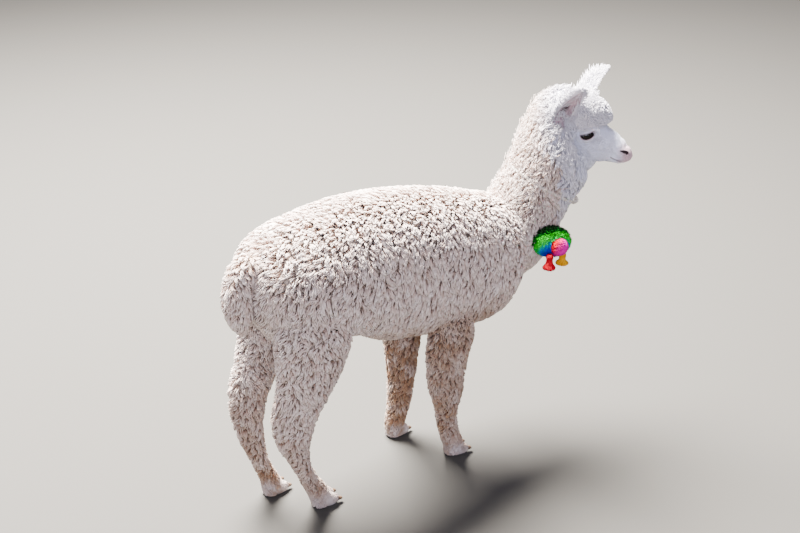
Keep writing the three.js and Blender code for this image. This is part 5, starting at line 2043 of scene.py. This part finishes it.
@dataclass(frozen=True)
class Collar:
    """The rope round the neck, pressed into the fleece, and its knot at the throat. Sizes in mm."""

    station: float = 0.47
    tilt: float = 14
    sink: float = 8.0
    ply: float = 2.1
    lay: float = 15.0
    knot_turns: float = 2.6

    def ring(self, angle: Array, sink: float) -> tuple[Array, Array]:
        """Points of the loop, C + side cos a (R - sink) + ahead sin a (R - sink) - T sin a tilt, and the way out."""
        neck = BODY["neck"]
        t = np.full(angle.shape, self.station)
        table = through(neck.table, t)
        spine = neck.table[:, :3]
        tangent = unit(through(spine, t + SLOPE_STEP) - through(spine, t - SLOPE_STEP))
        side, ahead = neck.crossways(tangent, t)
        cos, sin = np.cos(angle)[:, None], np.sin(angle)[:, None]
        across = side * cos * (table[:, 3:4] - sink * MM)
        along = ahead * sin * (np.where(sin > 0, table[:, 4:5], table[:, 5:6]) - sink * MM)
        loop = table[:, :3] + across + along - tangent * sin * self.tilt * MM
        return carried(neck.place, loop), unit(across + along)

    def build(self) -> Piece:
        """Three plies wound round the loop, and a knot of two turns standing at the throat."""
        count = 460
        angle = np.linspace(0, math.tau, count)
        loop, out = self.ring(angle, self.sink)
        length = np.concatenate([[0], np.cumsum(np.linalg.norm(np.diff(loop, axis=0), axis=1))])
        turns = round(length[-1] / (self.lay * MM))
        tangent = unit(np.gradient(loop, axis=0))
        over = np.cross(tangent, out)
        plies = self.wound(loop, out, over, length / length[-1] * turns, self.ply * 1.05)
        throat, front = self.ring(np.array([math.pi / 2]), 1.0)
        plies += self.knot(throat[0] + front[0] * 3 * MM)
        piece = joined(plies).piece("rope_and_knot")
        return set_up(piece, Cord().material(), "rope", "rope_collar")

    def knot(self, at: Array) -> list[Surface]:
        """The knot: plies wound into a ring of two turns and more, which stands in front of the loop."""
        view = unit(np.array([-0.55, -0.8, 0.25]))
        across = unit(np.cross(view, UP))
        up = np.cross(across, view)
        share = np.linspace(0, 1, 150)
        turn = share * self.knot_turns * math.tau
        radius = (6.6 + 1.4 * np.sin(turn * 0.5)) * MM
        centre = at + (across * np.cos(turn)[:, None] + up * np.sin(turn)[:, None]) * radius[:, None]
        centre = centre + view * ((share - 0.5) * 7 * MM)[:, None]
        tangent = unit(np.gradient(centre, axis=0))
        side = unit(np.cross(tangent, view))
        over = np.cross(side, tangent)
        return self.wound(centre, side, over, share * 11, 2.0)

    def wound(self, path: Array, out: Array, over: Array, turns: Array, radius: float) -> list[Surface]:
        """Three plies wound round a path: P + (out cos(2 pi turns + j 2 pi / 3) + over sin(...)) radius.

        Args:
            path: points of the rope's centre line.
            out: a direction across it at each point.
            over: the other direction across it.
            turns: how often the plies have gone round by each point.
            radius: of the plies' centres, in mm.

        Returns:
            The three plies.
        """
        plies = []
        for ply in range(3):
            phase = (turns * math.tau + ply * math.tau / 3)[:, None]
            way = out * np.cos(phase) + over * np.sin(phase)
            plies.append(tube(path + way * (radius * MM), self.ply * MM))
        return plies


def litter(count: int = 170) -> Piece:
    """Dry bits caught in the fleece of the back, the thighs and the neck: small flat flakes and stalks."""
    rng = np.random.default_rng(SEED + 90)
    shapes = []
    for form, share in (("trunk", 0.7), ("neck", 0.2), ("hind_right", 0.1)):
        loft = BODY[form]
        number = int(count * share)
        v = rng.uniform(0.12, 0.9 if form == "trunk" else 0.62, number)
        if form == "trunk":
            a = rng.choice([0, math.pi], number) + rng.normal(0, 0.8, number)
        else:
            a = rng.uniform(-math.pi, math.pi, number)
        at = loft.at(v, a, rng.uniform(-1.0, 1.0, number) * MM)
        normal = loft.normal(v, a, 1 * MM)
        for p, n in zip(at, normal):
            size = rng.uniform(1.0, 1.9) * MM
            shape = (size * rng.uniform(1.0, 2.4), size, size * 0.6)
            upright = Vector(n).to_track_quat("Z", "Y").to_matrix().to_4x4()
            turn = Matrix.Rotation(rng.uniform(0, math.pi), 4, Vector(n)) @ upright
            flake = ellipsoid((0, 0, 0), shape, 6)
            flake.points = flake.points * rng.uniform(0.7, 1.3, (len(flake.points), 1))
            matrix = shift(*p) @ np.array(turn)
            shapes.append(flake.filled(tone=rng.random()).moved(matrix))
    return set_up(joined(shapes).piece("plant_bits", smooth=False), Litter().material(), "fleece", "trunk", "neck")


# ---- eyes


def eyes() -> list[Piece]:
    """The eyeballs: smooth spheres of the solids' own size, dark, with the iris marked by its angle from the axis."""
    pieces = []
    cornea = Cornea().material()
    for side in Side:
        centre = EYE_AT * np.array([1, side.value, 1])
        ball = ellipsoid(centre, (EYE_RADIUS,) * 3, 64)
        look = unit(np.array([0.32, side.value, 0.02]))
        angle = np.degrees(np.arccos(np.clip(unit(ball.points - centre) @ look, -1, 1)))
        ball.values["iris"] = smoothstep(12, 22, angle) * smoothstep(50, 40, angle)
        piece = ball.moved(HEAD_MM).piece(f"eyeball_{side.label}")
        pieces.append(set_up(piece, cornea, "eye", f"eye_{side.label}"))
    return pieces


# ---- stage and camera


@dataclass(frozen=True)
class Lamp:
    """An area light aimed at a point."""

    name: str
    at: tuple[float, float, float]
    power: float
    size: float
    colour: str
    to: tuple[float, float, float] = (0.0, 0.0, 0.5)

    def build(self) -> Piece:
        """Puts the light into the scene."""
        data = bpy.data.lights.new(self.name, "AREA")
        data.energy = self.power
        data.size = self.size
        data.color = linear(self.colour)[:3]
        lamp = bpy.data.objects.new(self.name, data)
        lamp.location = self.at
        lamp.rotation_euler = (Vector(self.to) - Vector(self.at)).to_track_quat("-Z", "Y").to_euler()
        bpy.context.scene.collection.objects.link(lamp)
        return lamp


@dataclass(frozen=True)
class Stage:
    """A plain floor, a pale sky, a soft key from behind and above, and a cool fill from the camera's side."""

    half: float = 12.0  # of the floor's side, in metres
    floor: str = "3d3c39"
    sky: str = "E6DFEC"
    sky_strength: float = 0.72
    key: Lamp = Lamp("key", (0.1, 2.3, 4.5), 7600, 2.6, "FFF8F0")
    fill: Lamp = Lamp("fill", (-2.6, -3.4, 2.6), 165, 3.0, "E6E4F8")

    def build(self) -> None:
        """Puts the floor, the lights and the sky into the scene."""
        corners = np.array([[-1, -1, 0], [1, -1, 0], [1, 1, 0], [-1, 1, 0]]) * self.half
        ground = Surface(corners, np.array([[0, 1, 2], [0, 2, 3]])).piece("floor", smooth=False)
        paint = Finish("plain_floor", 0.9).start()
        paint.shader.inputs["Base Color"].default_value = linear(self.floor)
        ground.data.materials.append(paint.material)
        key, fill = self.key.build(), self.fill.build()
        world = bpy.data.worlds.new("sky")
        bpy.context.scene.world = world
        world.use_nodes = True
        sky = world.node_tree.nodes["Background"]
        sky.inputs["Color"].default_value = linear(self.sky)
        sky.inputs["Strength"].default_value = self.sky_strength


@dataclass(frozen=True)
class Camera:
    """The main view's camera: at a standing person's eye, to the animal's right and a little behind it."""

    at: tuple[float, float, float] = (-1.368, -1.7565, 1.6)
    heading: tuple[float, float] = (0.5935, 0.8048)
    down: float = 26.0  # degrees
    lens: float = 47.25
    sensor: float = 36.0

    def build(self) -> None:
        """Puts the camera into the scene."""
        data = bpy.data.cameras.new("camera")
        data.lens = self.lens
        data.sensor_width = self.sensor
        camera = bpy.data.objects.new("camera", data)
        camera.location = self.at
        pitch = math.radians(self.down)
        x, y = self.heading
        aim = Vector((x * math.cos(pitch), y * math.cos(pitch), -math.sin(pitch)))
        camera.rotation_euler = aim.to_track_quat("-Z", "Y").to_euler()
        bpy.context.scene.collection.objects.link(camera)
        bpy.context.scene.camera = camera


# ---- main


def main() -> None:
    """Builds the dressed animal on its stage."""
    logging.basicConfig(level=logging.INFO, format="%(message)s")
    skin = Skin().build()
    eyes()
    horn = Keratin().material()
    for foot in FEET:
        foot.nails(horn)
    fleece = Fleece().material()
    for coat in coat_plans():
        coat.build(fleece)
    set_up(joined(ear_hair()).piece("ear_fur"), fleece, "ear_hair", "ear_right", "ear_left")
    set_up(joined(crest_hair()).piece("crest_wisps"), fleece, "fleece", "head", "neck")
    set_up(joined([lashes(), lid_hair()]).piece("lashes_and_lid_hair"), fleece, "face_hair", "head")
    set_up(foot_hair(skin).piece("feet_short_hair"), fleece, "foot_hair", *(f"{name}_foot" for name in LEGS))
    Pompom().build()
    Collar().build()
    litter()
    Stage().build()
    Camera().build()


if __name__ == "__main__":
    main()
